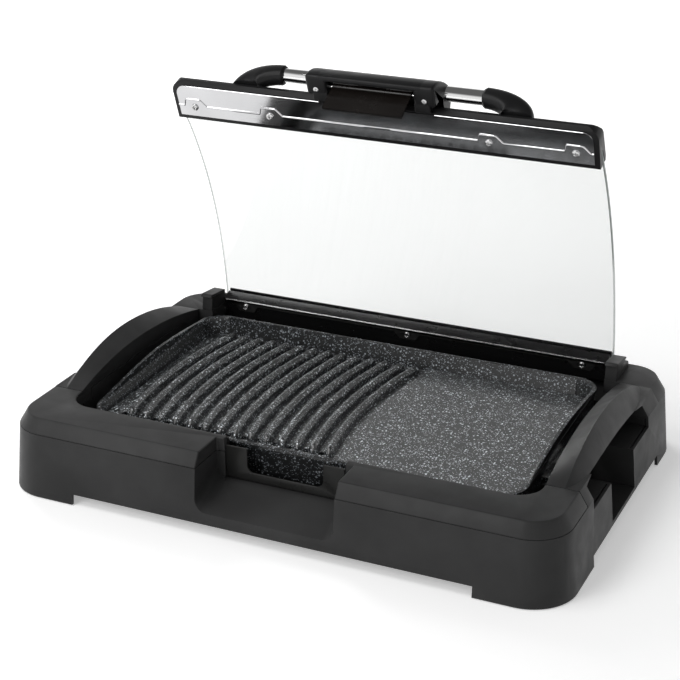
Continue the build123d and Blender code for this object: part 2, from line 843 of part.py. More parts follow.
def make_sensor_tube():
    """Well for the thermostat's probe, run in from the shroud to the plate's wall."""
    x0 = plate_half_x - plate_flange
    tube = rod((x0, terminal_y, sensor_z()), (x0 + shroud_depth - 4, terminal_y, sensor_z()),
               sensor_diameter / 2)
    bore = rod((x0 + 1, terminal_y, sensor_z()), (x0 + shroud_depth, terminal_y, sensor_z()),
               sensor_diameter / 2 - 1)
    return tube - bore


def clamp_places():
    """Centres of the straps that hold the heating tube to the plate."""
    return [(sx * element_half_x * 0.5, sy * element_half_y) for sx in (-1, 1) for sy in (-1, 1)]


def clamp_screw_places():
    """Screws of the straps, driven up into the plate's floor."""
    low = plate_bottom_z - clamp_thickness
    reach = element_diameter / 2 + clamp_thickness + 5
    return [((x, y + s * reach, low), (0, 0, 1)) for x, y in clamp_places() for s in (-1, 1)]


def make_clamps():
    """Strap saddles over the heating tube."""
    parts = []
    for x, y in clamp_places():
        radius = element_diameter / 2 + 0.1
        saddle = rod((x - clamp_width / 2, y, element_z), (x + clamp_width / 2, y, element_z),
                     radius + clamp_thickness)
        reach = radius + clamp_thickness + 9
        ears = block(x - clamp_width / 2, x + clamp_width / 2, y - reach, y + reach,
                     plate_bottom_z - clamp_thickness, plate_bottom_z)
        body = saddle + block(x - clamp_width / 2, x + clamp_width / 2, y - radius - clamp_thickness,
                              y + radius + clamp_thickness, element_z, plate_bottom_z) + ears
        body = body & block(x - 50, x + 50, y - 50, y + 50, 0, plate_bottom_z)
        body = body - rod((x - clamp_width, y, element_z), (x + clamp_width, y, element_z), radius)
        body = body - block(x - clamp_width, x + clamp_width, y - radius, y + radius, element_z,
                            plate_bottom_z + 1)
        for at, way in clamp_screw_places():
            body = body - screw_hole(at, way)
        parts.append(body)
    return Compound(children=parts)


# Drip tray
def make_tray():
    """Shallow tray under the plate, with the pull panel that stands in the recess."""
    width = 2 * tray_half_x
    depth = tray_back_y - tray_front_y
    mid = Pos(0, (tray_back_y + tray_front_y) / 2, tray_floor_z)
    outer = extrude(mid * RectangleRounded(width, depth, tray_corner), amount=tray_height)
    inner = extrude(mid * RectangleRounded(width - 2 * tray_sheet, depth - 2 * tray_sheet,
                                           tray_corner - tray_sheet), amount=tray_height)
    pan = outer - Pos(0, 0, tray_sheet) * inner
    side = window_half_x - 1
    shelf_low = recess_floor_back + 1
    shelf_high = shelf_low + tray_sheet
    panel_back = recess_back_y + panel_sheet + 1
    neck = block(-side, side, tray_front_y, tray_front_y + tray_sheet, tray_floor_z, shelf_high)
    shelf = block(-side, side, panel_back - panel_sheet, tray_front_y + tray_sheet, shelf_low, shelf_high)
    panel = block(-side, side, panel_back - panel_sheet, panel_back, shelf_low, panel_top_z)
    cut = block(-finger_half_x, finger_half_x, panel_back - panel_sheet - 1, panel_back + 1,
                finger_floor_z, panel_top_z + 20)
    corners = cut.edges().filter_by(Axis.Y).filter_by(lambda e: e.center().Z < finger_floor_z + 1)
    cut = fillet(corners, finger_corner)
    return pan + neck + shelf + (panel - cut)


# Lid pieces, drawn closed: forward is -Y, up is +Z, the pin runs through the origin
def lid_point(reach, rise):
    """Y and Z in the lid's frame of a place given by reach and rise."""
    return (-reach, rise)


def open_up(shape):
    """Carry a lid piece from the lid's own frame to the open stop."""
    return Pos(0, pin_y, pin_z) * Rot(-open_angle, 0, 0) * shape


def lid_profile(points):
    """Closed outline of reach and rise pairs, in the lid's frame."""
    return profile_yz([lid_point(reach, rise) for reach, rise in points])


def glass_solid(grow, extra_end):
    """Curved pane: the space between two arcs, thickened by a clearance."""
    start = glass_start - extra_end
    end = glass_end + extra_end
    mid = (glass_start + glass_end) / 2
    low = glass_edge_rise - grow
    high = glass_edge_rise + glass_thickness + grow
    inner = ThreePointArc(lid_point(start, low), lid_point(mid, low + glass_sag), lid_point(end, low))
    outer = ThreePointArc(lid_point(end, high), lid_point(mid, high + glass_sag), lid_point(start, high))
    front = Line(lid_point(end, low), lid_point(end, high))
    back = Line(lid_point(start, high), lid_point(start, low))
    return across(Plane.YZ * make_face([inner, front, outer, back]), -glass_half_x - extra_end,
                  glass_half_x + extra_end)


def make_glass():
    """Tempered glass pane."""
    return glass_solid(0, 0)


def make_rear_rail():
    """Hinge rail that grips the rear edge of the glass and turns on the pins."""
    points = [
        (-rail_back, rail_low + 3), (-rail_back + 3, rail_low), (rail_front, rail_low),
        (rail_front, rail_high + 3), (rail_front - 4, rail_high + 4.5), (-rail_back + 4, rail_high),
        (-rail_back, rail_high - 4),
    ]
    body = across(lid_profile(points), -rail_half_x, rail_half_x) - glass_solid(0.1, 0.1)
    for side in (-1, 1):
        body = body - rod((side * (pin_inner_x - 1), 0, 0), (side * (rail_half_x + 1), 0, 0), pin_seat)
    for hole in rail_screw_places():
        body = body - screw_hole(*hole)
    return body


def rail_screw_places():
    """Screws that hold the inner strip to the hinge rail."""
    low = rail_low - strip_thickness
    return [((x, -rail_front + 8, low), (0, 0, 1)) for x in (-rail_screw_x, 0, rail_screw_x)]


def make_rear_strip():
    """Steel strip on the inner face of the hinge rail, with a boss round each screw."""
    strip = block(-rail_half_x + 2, rail_half_x - 2, -rail_front, -rail_front + 5, rail_low - strip_thickness,
                  rail_low)
    for at, way in rail_screw_places():
        x = at[0]
        boss = make_face(Polyline((x - 16, -rail_front + 4), (x - 9, -rail_front + 14),
                                  (x + 9, -rail_front + 14), (x + 16, -rail_front + 4), close=True))
        strip = strip + extrude(Pos(0, 0, rail_low - strip_thickness) * boss, amount=strip_thickness)
    for hole in rail_screw_places():
        strip = strip - screw_hole(*hole)
    return strip


def cap_blank():
    """Front cap before its slot, holes and rounded ends."""
    points = [
        (cap_start, cap_low), (cap_start, cap_high + 2), (cap_start + 4, cap_high + 3.5),
        (lid_reach - 8, cap_high), (lid_reach - 1, cap_high - 5), (lid_reach, cap_low + 4),
        (lid_reach - 3, cap_low),
    ]
    return across(lid_profile(points), -cap_half_x, cap_half_x)


def make_front_cap():
    """Moulded outer cap along the front edge of the lid."""
    body = cap_blank()
    plan = make_face([
        Polyline((-cap_half_x, -cap_start + 1), (-cap_half_x, -lid_reach + cap_end_round)),
        RadiusArc((-cap_half_x, -lid_reach + cap_end_round), (-cap_half_x + cap_end_round, -lid_reach),
                  -cap_end_round),
        Polyline((-cap_half_x + cap_end_round, -lid_reach), (cap_half_x - cap_end_round, -lid_reach)),
        RadiusArc((cap_half_x - cap_end_round, -lid_reach), (cap_half_x, -lid_reach + cap_end_round),
                  -cap_end_round),
        Polyline((cap_half_x, -lid_reach + cap_end_round), (cap_half_x, -cap_start + 1),
                 (-cap_half_x, -cap_start + 1)),
    ])
    body = body & extrude(Pos(0, 0, cap_low - 5) * plan, amount=60)
    body = body - glass_solid(0.1, 0.1)
    for hole in front_screw_places():
        body = body - screw_hole(*hole)
    for at, way in block_screw_places() + elbow_screw_places():
        body = body - screw_hole(at, way)
        x, y, z = at
        body = body - rod((x, y, cap_low - 1), at, screw_head / 2 + fit)
    return body


def front_screw_places():
    """Screws that hold the steel plate to the front cap."""
    low = cap_low - strip_thickness
    xs = (-front_screw_outer_x, -front_screw_inner_x, front_screw_inner_x, front_screw_outer_x)
    return [((x, -front_screw_reach, low), (0, 0, 1)) for x in xs]


def make_front_plate():
    """Polished steel plate on the inner face of the front cap, with a pressed line round its screws."""
    low = cap_low - strip_thickness
    body = block(-front_plate_half_x, front_plate_half_x, -front_plate_end, -plate_start, low, cap_low)
    line_y = -plate_start - 8
    pressed = block(-front_plate_half_x + 8, front_plate_half_x - 8, line_y, line_y + relief_width, low,
                    low + relief_depth * 0.5)
    body = body - pressed
    for at, way in front_screw_places():
        body = body - screw_hole(at, way)
    return body


def block_screw_places():
    """Screws that hold the grip block down on the cap."""
    xs = (-block_half_x + 9, block_half_x - 9)
    return [((x, -(block_start + 8), cap_low + screw_head_height), (0, 0, 1)) for x in xs]


def elbow_screw_places():
    """Screws that hold the elbows down on the cap."""
    x = elbow_outer_x - elbow_foot / 2
    return [((side * x, -(lid_reach - 14), cap_low + screw_head_height), (0, 0, 1)) for side in (-1, 1)]


def make_bar():
    """Chromed tube of the lid's handle."""
    reach = elbow_inner_x + bar_insert - fit
    tube = rod((-reach, -bar_reach, bar_rise), (reach, -bar_reach, bar_rise), bar_diameter / 2)
    bore = rod((-reach - 1, -bar_reach, bar_rise), (reach + 1, -bar_reach, bar_rise),
               bar_diameter / 2 - bar_wall)
    return tube - bore


def make_elbow(side):
    """Curved end piece that carries the bar on the cap."""
    top = bar_rise + bar_diameter / 2 + elbow_skin
    low = bar_rise - bar_diameter / 2 - elbow_skin
    foot = cap_high - 1
    crown = RadiusArc((elbow_outer_x, foot), (elbow_inner_x + elbow_neck, top), -elbow_crown_radius)
    under = RadiusArc((elbow_inner_x + elbow_throat, low), (elbow_outer_x - elbow_foot, foot), elbow_under_radius)
    face = make_face([
        crown,
        Polyline((elbow_inner_x + elbow_neck, top), (elbow_inner_x, top), (elbow_inner_x, low),
                 (elbow_inner_x + elbow_throat, low)),
        under,
        Line((elbow_outer_x - elbow_foot, foot), (elbow_outer_x, foot)),
    ])
    front = -(bar_reach + elbow_depth / 2)
    plane = Plane(origin=(0, front, 0), x_dir=(1, 0, 0), z_dir=(0, -1, 0))
    body = extrude(plane * face, amount=-elbow_depth)
    body = body - rod((elbow_inner_x - 1, -bar_reach, bar_rise),
                      (elbow_inner_x + bar_insert, -bar_reach, bar_rise), bar_diameter / 2 + bar_fit)
    foot_back = -(lid_reach - 22)
    shoe = block(elbow_outer_x - elbow_foot, elbow_outer_x, -lid_reach + 3, foot_back, cap_high - 2, cap_high + 4)
    body = body + shoe - cap_blank()
    for at, way in elbow_screw_places():
        body = body - screw_hole(at, way)
    return body if side > 0 else mirror_x(body)


def make_grip_block():
    """Central block of the handle, with the window where the catch flap hangs."""
    points = [
        (block_start, cap_high - 2), (block_start, cap_high + 4), (block_start + 6, block_high),
        (block_end - 4, block_high), (block_end, block_high - 4), (block_end, block_low),
        (block_step, block_low), (block_step, cap_high - 2),
    ]
    body = across(lid_profile(points), -block_half_x, block_half_x) - cap_blank()
    window = block(-block_window_half_x, block_window_half_x, -block_window_end, -block_window_start,
                   block_low - 1, block_low + block_window_depth)
    body = body - window
    body = body - rod((-block_half_x - 1, -bar_reach, bar_rise), (block_half_x + 1, -bar_reach, bar_rise),
                      bar_diameter / 2 + bar_fit)
    for side in (-1, 1):
        body = body - rod((side * (block_window_half_x - 1), -latch_reach, latch_rise),
                          (side * (block_window_half_x + 8), -latch_reach, latch_rise),
                          latch_pin_diameter / 2 + 0.02)
    for at, way in block_screw_places():
        body = body - screw_hole(at, way)
    return body


def make_latch():
    """Catch flap: a barrel on the pins, an upper lip and a long blade."""
    barrel = rod((-latch_half_x, -latch_reach, latch_rise), (latch_half_x, -latch_reach, latch_rise),
                 latch_barrel / 2)
    blade = block(-latch_half_x, latch_half_x, -latch_reach - latch_sheet / 2, -latch_reach + latch_sheet / 2,
                  latch_rise - latch_drop, latch_rise)
    lip = block(-latch_half_x + 2, latch_half_x - 2, -latch_reach - latch_upper, -latch_reach,
                latch_rise + latch_barrel / 2 - latch_sheet, latch_rise + latch_barrel / 2)
    body = barrel + blade + lip
    return body - rod((-latch_half_x - 1, -latch_reach, latch_rise),
                      (latch_half_x + 1, -latch_reach, latch_rise), latch_pin_diameter / 2 + running_fit)


def make_latch_pin():
    """Pivot pin of the catch flap."""
    reach = block_window_half_x + 7
    return rod((-reach, -latch_reach, latch_rise), (reach, -latch_reach, latch_rise), latch_pin_diameter / 2)


def make_hinge_pins():
    """Two pivot pins that drop into the slots of the towers."""
    pins = []
    for side in (-1, 1):
        pins.append(rod((side * pin_inner_x, pin_y, pin_z), (side * pin_outer_x, pin_y, pin_z), pin_radius))
    return Compound(children=pins)


def screws(places, length=screw_length):
    """Screws at a list of places, as one group of separate solids."""
    return Compound(children=[screw(at, way, length) for at, way in places])


def lid_screws(places, length=screw_length):
    """Screws of the lid, carried to the open stop."""
    return Compound(children=[open_up(screw(at, way, length)) for at, way in places])


nodes = {
    "base_housing": make_housing(),
    "front_bezel_left": make_front_bezel(-1),
    "front_bezel_right": make_front_bezel(1),
    "rear_bezel": make_rear_bezel(),
    "arch_handle_left": make_arch(-1),
    "arch_handle_right": make_arch(1),
    "side_liner_left": make_side_liner(-1),
    "side_liner_right": make_side_liner(1),
    "front_liner": make_front_liner(),
    "rear_liner": make_rear_liner(),
    "bottom_cover": make_bottom_cover(),
    "heat_shield": make_heat_shield(),
    "rubber_feet": make_feet(),
    "probe_port": make_probe_port(),
    "plate_rests": make_rests(),
    "hinge_tower_left": make_tower(-1),
    "hinge_tower_right": make_tower(1),
    "tower_cap_left": make_tower_cap(-1),
    "tower_cap_right": make_tower_cap(1),
    "cover_screws": screws(cover_screw_places()),
    "handle_screws": screws(arch_screw_places(-1) + arch_screw_places(1)),
    "tower_screws": screws(tower_screw_places(-1) + tower_screw_places(1), tower_screw_length),
    "rim_screws": screws(bezel_screw_places(), rim_screw_length),
    "cooking_plate": make_plate(),
    "heating_element": make_element(),
    "terminal_pins": make_terminal_pins(),
    "terminal_shroud": make_shroud(),
    "sensor_tube": make_sensor_tube(),
    "element_clamps": make_clamps(),
    "clamp_screws": screws(clamp_screw_places(), plate_floor - 2),
    "drip_tray": make_tray(),
    "hinge_pins": make_hinge_pins(),
    "lid_glass": open_up(make_glass()),
    "lid_rear_rail": open_up(make_rear_rail()),
    "lid_rear_strip": open_up(make_rear_strip()),
    "rear_strip_screws": lid_screws(rail_screw_places()),
    "lid_front_cap": open_up(make_front_cap()),
    "lid_front_plate": open_up(make_front_plate()),
    "front_plate_screws": lid_screws(front_screw_places()),
    "handle_bar": open_up(make_bar()),
    "handle_elbow_left": open_up(make_elbow(-1)),
    "handle_elbow_right": open_up(make_elbow(1)),
    "elbow_screws": lid_screws(elbow_screw_places()),
    "grip_block": open_up(make_grip_block()),
    "grip_block_screws": lid_screws(block_screw_places()),
    "catch_flap": open_up(make_latch()),
    "catch_pin": open_up(make_latch_pin()),
}

os.makedirs("parts", exist_ok=True)
for name, shape in nodes.items():
    export_step(shape, f"parts/{name}.step")
    print(name, len(shape.solids()), round(shape.volume / 1000, 1), "cm3")
print("the lid turns", closing_turn, "degrees from its open stop to closed")
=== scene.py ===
"""Looks of a countertop electric grill with a hinged glass lid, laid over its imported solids."""

import json
import logging
import math
from dataclasses import dataclass
from enum import Enum
from functools import cache
from typing import Callable, Optional, Sequence, Union

import bmesh
import bpy
import numpy as np
from mathutils import Matrix, Vector


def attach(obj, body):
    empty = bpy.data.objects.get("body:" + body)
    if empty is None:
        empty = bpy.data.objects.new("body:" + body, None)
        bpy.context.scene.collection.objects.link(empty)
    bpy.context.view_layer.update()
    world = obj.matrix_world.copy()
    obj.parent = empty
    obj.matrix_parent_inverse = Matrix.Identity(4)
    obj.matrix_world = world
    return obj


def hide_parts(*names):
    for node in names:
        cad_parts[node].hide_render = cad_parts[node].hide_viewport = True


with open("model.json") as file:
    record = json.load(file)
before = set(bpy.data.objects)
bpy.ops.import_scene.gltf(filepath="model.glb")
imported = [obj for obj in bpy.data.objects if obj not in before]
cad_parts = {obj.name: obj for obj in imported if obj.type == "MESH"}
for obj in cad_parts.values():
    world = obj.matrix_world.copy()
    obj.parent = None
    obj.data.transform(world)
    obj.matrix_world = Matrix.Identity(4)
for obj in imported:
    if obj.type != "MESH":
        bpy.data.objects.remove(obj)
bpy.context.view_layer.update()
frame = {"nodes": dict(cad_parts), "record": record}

log = logging.getLogger("grill")
BODY_OF = {node: body for body, nodes in frame["record"]["behaviour"]["bodies"].items() for node in nodes}

MM = 0.001
PIN_Y = 163.5
PIN_Z = 70.0
LID_LEAN = math.radians(19.5)
PLASTIC_IOR = 1.5
GLASS_IOR = 1.45
WHITE = (1.0, 1.0, 1.0, 1.0)
Colour = tuple[float, float, float]
Place = tuple[float, float, float]
Outline = tuple[tuple[float, float], ...]
Cells = tuple[float, float]
Bend = Callable[[np.ndarray], np.ndarray]
Socket = Union[int, str]
Output = tuple[bpy.types.Node, Socket]


def linked(name: str, data: bpy.types.ID) -> bpy.types.Object:
    """New object of the scene."""
    obj = bpy.data.objects.new(name, data)
    bpy.context.scene.collection.objects.link(obj)
    return obj


def lid_to_row(points: np.ndarray) -> np.ndarray:
    """Carry points of the lid's own frame to the open lid.

    The lid's frame has X across, reach along the lid from the pin and rise square to it.
    A point lies at the pin plus reach times the lid's direction plus rise times its normal.

    Args:
        points: rows of X, reach and rise in millimetres.

    Returns:
        Rows of X, Y and Z in metres.
    """
    x, reach, rise = points[..., 0], points[..., 1], points[..., 2]
    y = PIN_Y - reach * math.sin(LID_LEAN) + rise * math.cos(LID_LEAN)
    z = PIN_Z + reach * math.cos(LID_LEAN) + rise * math.sin(LID_LEAN)
    return np.stack([x, y, z], axis=-1) * MM


def soft_corners(outline: np.ndarray, cut: float, steps: int = 5, most: float = 0.45) -> np.ndarray:
    """Closed outline with rounded corners.

    A corner C becomes the parabola (1-s)^2 A + 2s(1-s) C + s^2 B, where A and B lie on its two sides.

    Args:
        outline: corners in order, one row each.
        cut: distance of A and B from the corner.
        steps: points on each rounded corner.
        most: part of a side that the cut may take.

    Returns:
        The rounded outline's points.
    """
    back = np.roll(outline, 1, axis=0) - outline
    ahead = np.roll(outline, -1, axis=0) - outline
    back_length = np.linalg.norm(back, axis=1, keepdims=True)
    ahead_length = np.linalg.norm(ahead, axis=1, keepdims=True)
    reach = np.minimum(cut, most * np.minimum(back_length, ahead_length))
    first = outline + back / back_length * reach
    last = outline + ahead / ahead_length * reach
    s = np.linspace(0.0, 1.0, steps)[None, :, None]
    arc = (1 - s) ** 2 * first[:, None] + 2 * s * (1 - s) * outline[:, None] + s ** 2 * last[:, None]
    return arc.reshape(-1, 2)


def inward(outline: np.ndarray) -> np.ndarray:
    """Unit normals of a closed outline, pointing into it: the turned tangents, signed by its area."""
    ahead = np.roll(outline, -1, axis=0)
    tangent = ahead - np.roll(outline, 1, axis=0)
    tangent = tangent / np.maximum(np.linalg.norm(tangent, axis=1, keepdims=True), 1e-9)
    area = np.sum(outline[:, 0] * ahead[:, 1] - ahead[:, 0] * outline[:, 1])
    return np.stack([-tangent[:, 1], tangent[:, 0]], axis=1) * np.sign(area)


def at_x(x: np.ndarray, outlines: np.ndarray) -> np.ndarray:
    """Rings of X, reach and rise from one outline for each X."""
    return np.concatenate([np.broadcast_to(x[:, None, None], (*outlines.shape[:2], 1)), outlines], axis=2)


def prism(outline: np.ndarray, start: float, end: float, rounding: float, steps: int = 5) -> np.ndarray:
    """Rings of a prism along X with rounded ends.

    Near an end the ring at w(1 - cos a) from it is drawn in by w(1 - sin a), a quarter circle of radius w.

    Args:
        outline: reach and rise of the cross-section's points.
        start: X of one end.
        end: X of the other end.
        rounding: radius w of the ends' edges.
        steps: rings on each rounded end.

    Returns:
        Rings of X, reach and rise.
    """
    angle = np.linspace(0.0, math.pi / 2, steps)
    along = rounding * (1 - np.cos(angle))
    inset = rounding * (1 - np.sin(angle))
    x = np.concatenate([start + along, (end - along)[::-1]])
    drawn = np.concatenate([inset, inset[::-1]])
    rings = outline[None] + inward(outline)[None] * drawn[:, None, None]
    return at_x(x, rings)


def circle(steps: int) -> tuple[np.ndarray, np.ndarray]:
    """Cosine and sine at even steps round a circle."""
    turn = np.linspace(0.0, 2 * math.pi, steps, endpoint=False)
    return np.cos(turn), np.sin(turn)


@dataclass(frozen=True)
class PanHead:
    """Domed screw head with a cross recess. Its other sizes are parts of its radius or height."""

    radius: float
    height: float
    doming: float = 0.4
    foot: float = 0.35
    cross: float = 0.62
    slot_half: float = 0.16
    depth: float = 0.62
    soft: float = 0.05
    shares: tuple[float, ...] = (1.0, 1.0, 0.96, 0.88, 0.76, 0.64, 0.58, 0.5, 0.4, 0.3, 0.22, 0.14, 0.05)

    def rings(self) -> np.ndarray:
        """Rings from the foot to the middle, round the origin and rising along the third axis.

        At the share t of the radius the height is H(1 - d t^2), less the recess where |x| or |y| is under the
        slot's half width and t is within the cross.
        """
        c, s = circle(48)
        share = np.array(self.shares)[:, None]
        x, y = self.radius * share * c, self.radius * share * s
        slot = self.slot_half * self.radius - np.minimum(np.abs(x), np.abs(y))
        slot = np.clip(slot / (self.soft * self.radius), 0, 1)
        within = np.clip((self.cross - share) / self.soft, 0, 1)
        up = self.height * (1 - self.doming * share ** 2) - self.depth * self.height * slot * within
        up[0] = 0.0
        up[1] = self.height * self.foot
        return np.stack([x, y, up], axis=-1)


def sweep(path: np.ndarray, thickness: float) -> np.ndarray:
    """Closed outlines of a sheet of even thickness along paths.

    Each outline runs along the path moved by half the thickness to one side, and back on the other side.

    Args:
        path: for every ring the path's points, shape rings x points x 2.
        thickness: of the sheet.

    Returns:
        Outlines, shape rings x 2 points x 2.
    """
    tangent = np.gradient(path, axis=1)
    tangent = tangent / np.linalg.norm(tangent, axis=2, keepdims=True)
    side = np.stack([-tangent[..., 1], tangent[..., 0]], axis=-1) * thickness / 2
    return np.concatenate([path + side, (path - side)[:, ::-1]], axis=1)


class Shape:
    """Collects the closed surfaces of one piece and makes its object."""

    def __init__(self, name: str, merge_m: float = 1e-6) -> None:
        """Start an empty piece, whose points become one where they are nearer than merge_m metres."""
        self.name = name
        self.merge_m = merge_m
        self.points: list[np.ndarray] = []
        self.faces: list[list[int]] = []
        self.count = 0

    def tube(self, rings: np.ndarray, sheet: bool = False) -> "Shape":
        """Add a closed tube through rings of points, with a flat end at its first and last ring.

        Args:
            rings: points in metres, shape rings x points x 3.
            sheet: close the ends by strips between the outline's two halves, as a bent sheet needs.

        Returns:
            The piece itself.
        """
        m, n = rings.shape[:2]
        ring = np.arange(m - 1)[:, None] * n + self.count
        first, ahead = ring + np.arange(n), ring + (np.arange(n) + 1) % n
        quads = np.stack([first, ahead, ahead + n, first + n], axis=-1).reshape(-1, 4)
        self.faces += quads.tolist()
        if sheet:
            i = np.arange(n // 2 - 1)
            closing = np.stack([i, i + 1, n - 2 - i, n - 1 - i], axis=-1)
        else:
            closing = np.arange(n)[None]
        self.faces += (closing[:, ::-1] + self.count).tolist()
        self.faces += (closing + (m - 1) * n + self.count).tolist()
        self.points.append(rings.reshape(-1, 3))
        self.count += m * n
        return self

    def build(self, finish: "Finish", body: str, slot: str, replaced: Sequence[str] = (),
              crease: float = 32.0) -> bpy.types.Object:
        """Make the object, turn its faces outwards, smooth it and dress it.

        Args:
            finish: the piece's finish.
            body: the body that it rides on.
            slot: the record's material slot; not used.
            replaced: CAD nodes that it stands for.
            crease: angle in degrees above which an edge stays sharp.

        Returns:
            The new piece.
        """
        mesh = bpy.data.meshes.new(self.name)
        mesh.from_pydata(np.concatenate(self.points).tolist(), [], self.faces)
        shape = bmesh.new()
        shape.from_mesh(mesh)
        bmesh.ops.remove_doubles(shape, verts=shape.verts, dist=self.merge_m)
        bmesh.ops.recalc_face_normals(shape, faces=shape.faces)
        shape.to_mesh(mesh)
        shape.free()
        mesh.polygons.foreach_set("use_smooth", np.ones(len(mesh.polygons), dtype=bool))
        mesh.set_sharp_from_angle(angle=math.radians(crease))
        piece = linked(self.name, mesh)
        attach(piece, body)
        if replaced:
            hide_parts(*replaced)
        finish.dress(piece)
        log.info("%s on %s", self.name, body)
        return piece


class Wiring:
    """Node tree of one material or of the world, with short ways to add and join nodes."""

    def __init__(self, name: str, world: bool = False) -> None:
        """Start an empty material, or a world, with its name."""
        self.owner = (bpy.data.worlds if world else bpy.data.materials).new(name)
        self.owner.use_nodes = True
        self.tree = self.owner.node_tree
        self.tree.nodes.clear()
        self.output = self.add("ShaderNodeOutputWorld" if world else "ShaderNodeOutputMaterial")
        self.where = self.add("ShaderNodeTexCoord")

    def add(self, kind: str, values: Optional[dict] = None, **settings: object) -> bpy.types.Node:
        """Add a node.

        Args:
            kind: the node's type name.
            values: input socket to its plain value.
            **settings: the node's own properties.

        Returns:
            The new node.
        """
        node = self.tree.nodes.new(kind)
        for key, value in settings.items():
            setattr(node, key, value)
        for key, value in (values or {}).items():
            node.inputs[key].default_value = value
        return node

    def join(self, source: bpy.types.Node, out: Socket, target: bpy.types.Node, into: Socket) -> None:
        """Join an output of one node to an input of another."""
        self.tree.links.new(source.outputs[out], target.inputs[into])

    def combine(self, operation: str, *outputs: Output) -> Output:
        """Add a Math node on two outputs and give its own."""
        node = self.add("ShaderNodeMath", operation=operation)
        for index, output in enumerate(outputs):
            self.join(*output, node, index)
        return node, "Value"

    def rays(self, *kinds: str) -> Output:
        """Output that is 1 for rays of the given kinds and 0 for all others."""
        path = self.add("ShaderNodeLightPath")
        found = (path, f"Is {kinds[0]} Ray")
        for kind in kinds[1:]:
            found = self.combine("MAXIMUM", found, (path, f"Is {kind} Ray"))
        return found

    def noise(self, cells: Cells, stretch: Place = (1.0, 1.0, 1.0)) -> bpy.types.Node:
        """Add a noise on object coordinates.

        Args:
            cells: their number per metre, and the octaves.
            stretch: factor on each axis, small along the grain.

        Returns:
            The noise node.
        """
        texture = self.add("ShaderNodeTexNoise", {"Scale": cells[0], "Detail": cells[1]})
        place = self.add("ShaderNodeMapping", {"Scale": stretch})
        self.join(self.where, "Object", place, "Vector")
        self.join(place, "Vector", texture, "Vector")
        return texture

    def spread(self, source: bpy.types.Node, out: Socket, low: float, high: float,
               start: float = 0.3, end: float = 0.7) -> bpy.types.Node:
        """Map an output's values between two limits, by default those of a noise, onto another range."""
        limits = {"From Min": start, "From Max": end, "To Min": low, "To Max": high}
        node = self.add("ShaderNodeMapRange", limits)
        self.join(source, out, node, "Value")
        return node

    def surface(self, shader: bpy.types.Node) -> bpy.types.ID:
        """Join a shader to the output and hand over the material or world."""
        self.join(shader, 0, self.output, "Surface")
        return self.owner


class Skin(Wiring):
    """Material with one principled shader, whose colour, gloss and relief follow noises."""

    def __init__(self, name: str, values: dict) -> None:
        """Start a material with its name and its shader's plain values."""
        super().__init__(name)
        self.shader = self.add("ShaderNodeBsdfPrincipled", values)

    def paint(self, output: Output, first: Colour, second: Colour) -> None:
        """Colour it between two colours by an output from 0 to 1."""
        blend = self.add("ShaderNodeMix", data_type="RGBA")
        blend.inputs[6].default_value = (*first, 1.0)
        blend.inputs[7].default_value = (*second, 1.0)
        self.join(*output, blend, 0)
        self.join(blend, 2, self.shader, "Base Color")

    def mottle(self, noise: bpy.types.Node, colour: Colour, low: float, high: float) -> None:
        """Vary a colour between two factors by a noise."""
        first, second = (tuple(min(1.0, part * factor) for part in colour) for factor in (low, high))
        self.paint((self.spread(noise, "Fac", 0.0, 1.0), "Result"), first, second)

    def gloss(self, noise: bpy.types.Node, low: float, high: float) -> None:
        """Vary the roughness between two values by a noise."""
        self.join(self.spread(noise, "Fac", low, high), "Result", self.shader, "Roughness")

    def relief(self, noise: bpy.types.Node, depth: float, strength: float) -> None:
        """Press a noise into the surface, to a depth in metres."""
        bump = self.add("ShaderNodeBump", {"Strength": strength, "Distance": depth})
        self.join(noise, "Fac", bump, "Height")
        self.join(bump, "Normal", self.shader, "Normal")

    def done(self) -> bpy.types.Material:
        """Finish the material."""
        return self.surface(self.shader)


@dataclass(frozen=True)
class MouldedPlastic:
    """Moulded plastic with a fine eroded grain, slight mottling and an uneven gloss."""

    name: str
    colour: Colour
    roughness: float = 0.42
    grain: float = 1400.0
    depth: float = 0.00004
    mottle: float = 0.2
    shine: float = 0.16
    clouds: Cells = (18.0, 4.0)
    rubs: Cells = (60.0, 5.0)

    def make(self) -> bpy.types.Material:
        """Build the material."""
        skin = Skin(self.name, {"IOR": PLASTIC_IOR, "Specular IOR Level": self.shine})
        skin.mottle(skin.noise(self.clouds), self.colour, 1.0 - self.mottle, 1.0 + self.mottle)
        skin.gloss(skin.noise(self.rubs), self.roughness - 0.05, self.roughness + 0.06)
        skin.relief(skin.noise((self.grain, 3.0)), self.depth, 0.6)
        return skin.done()


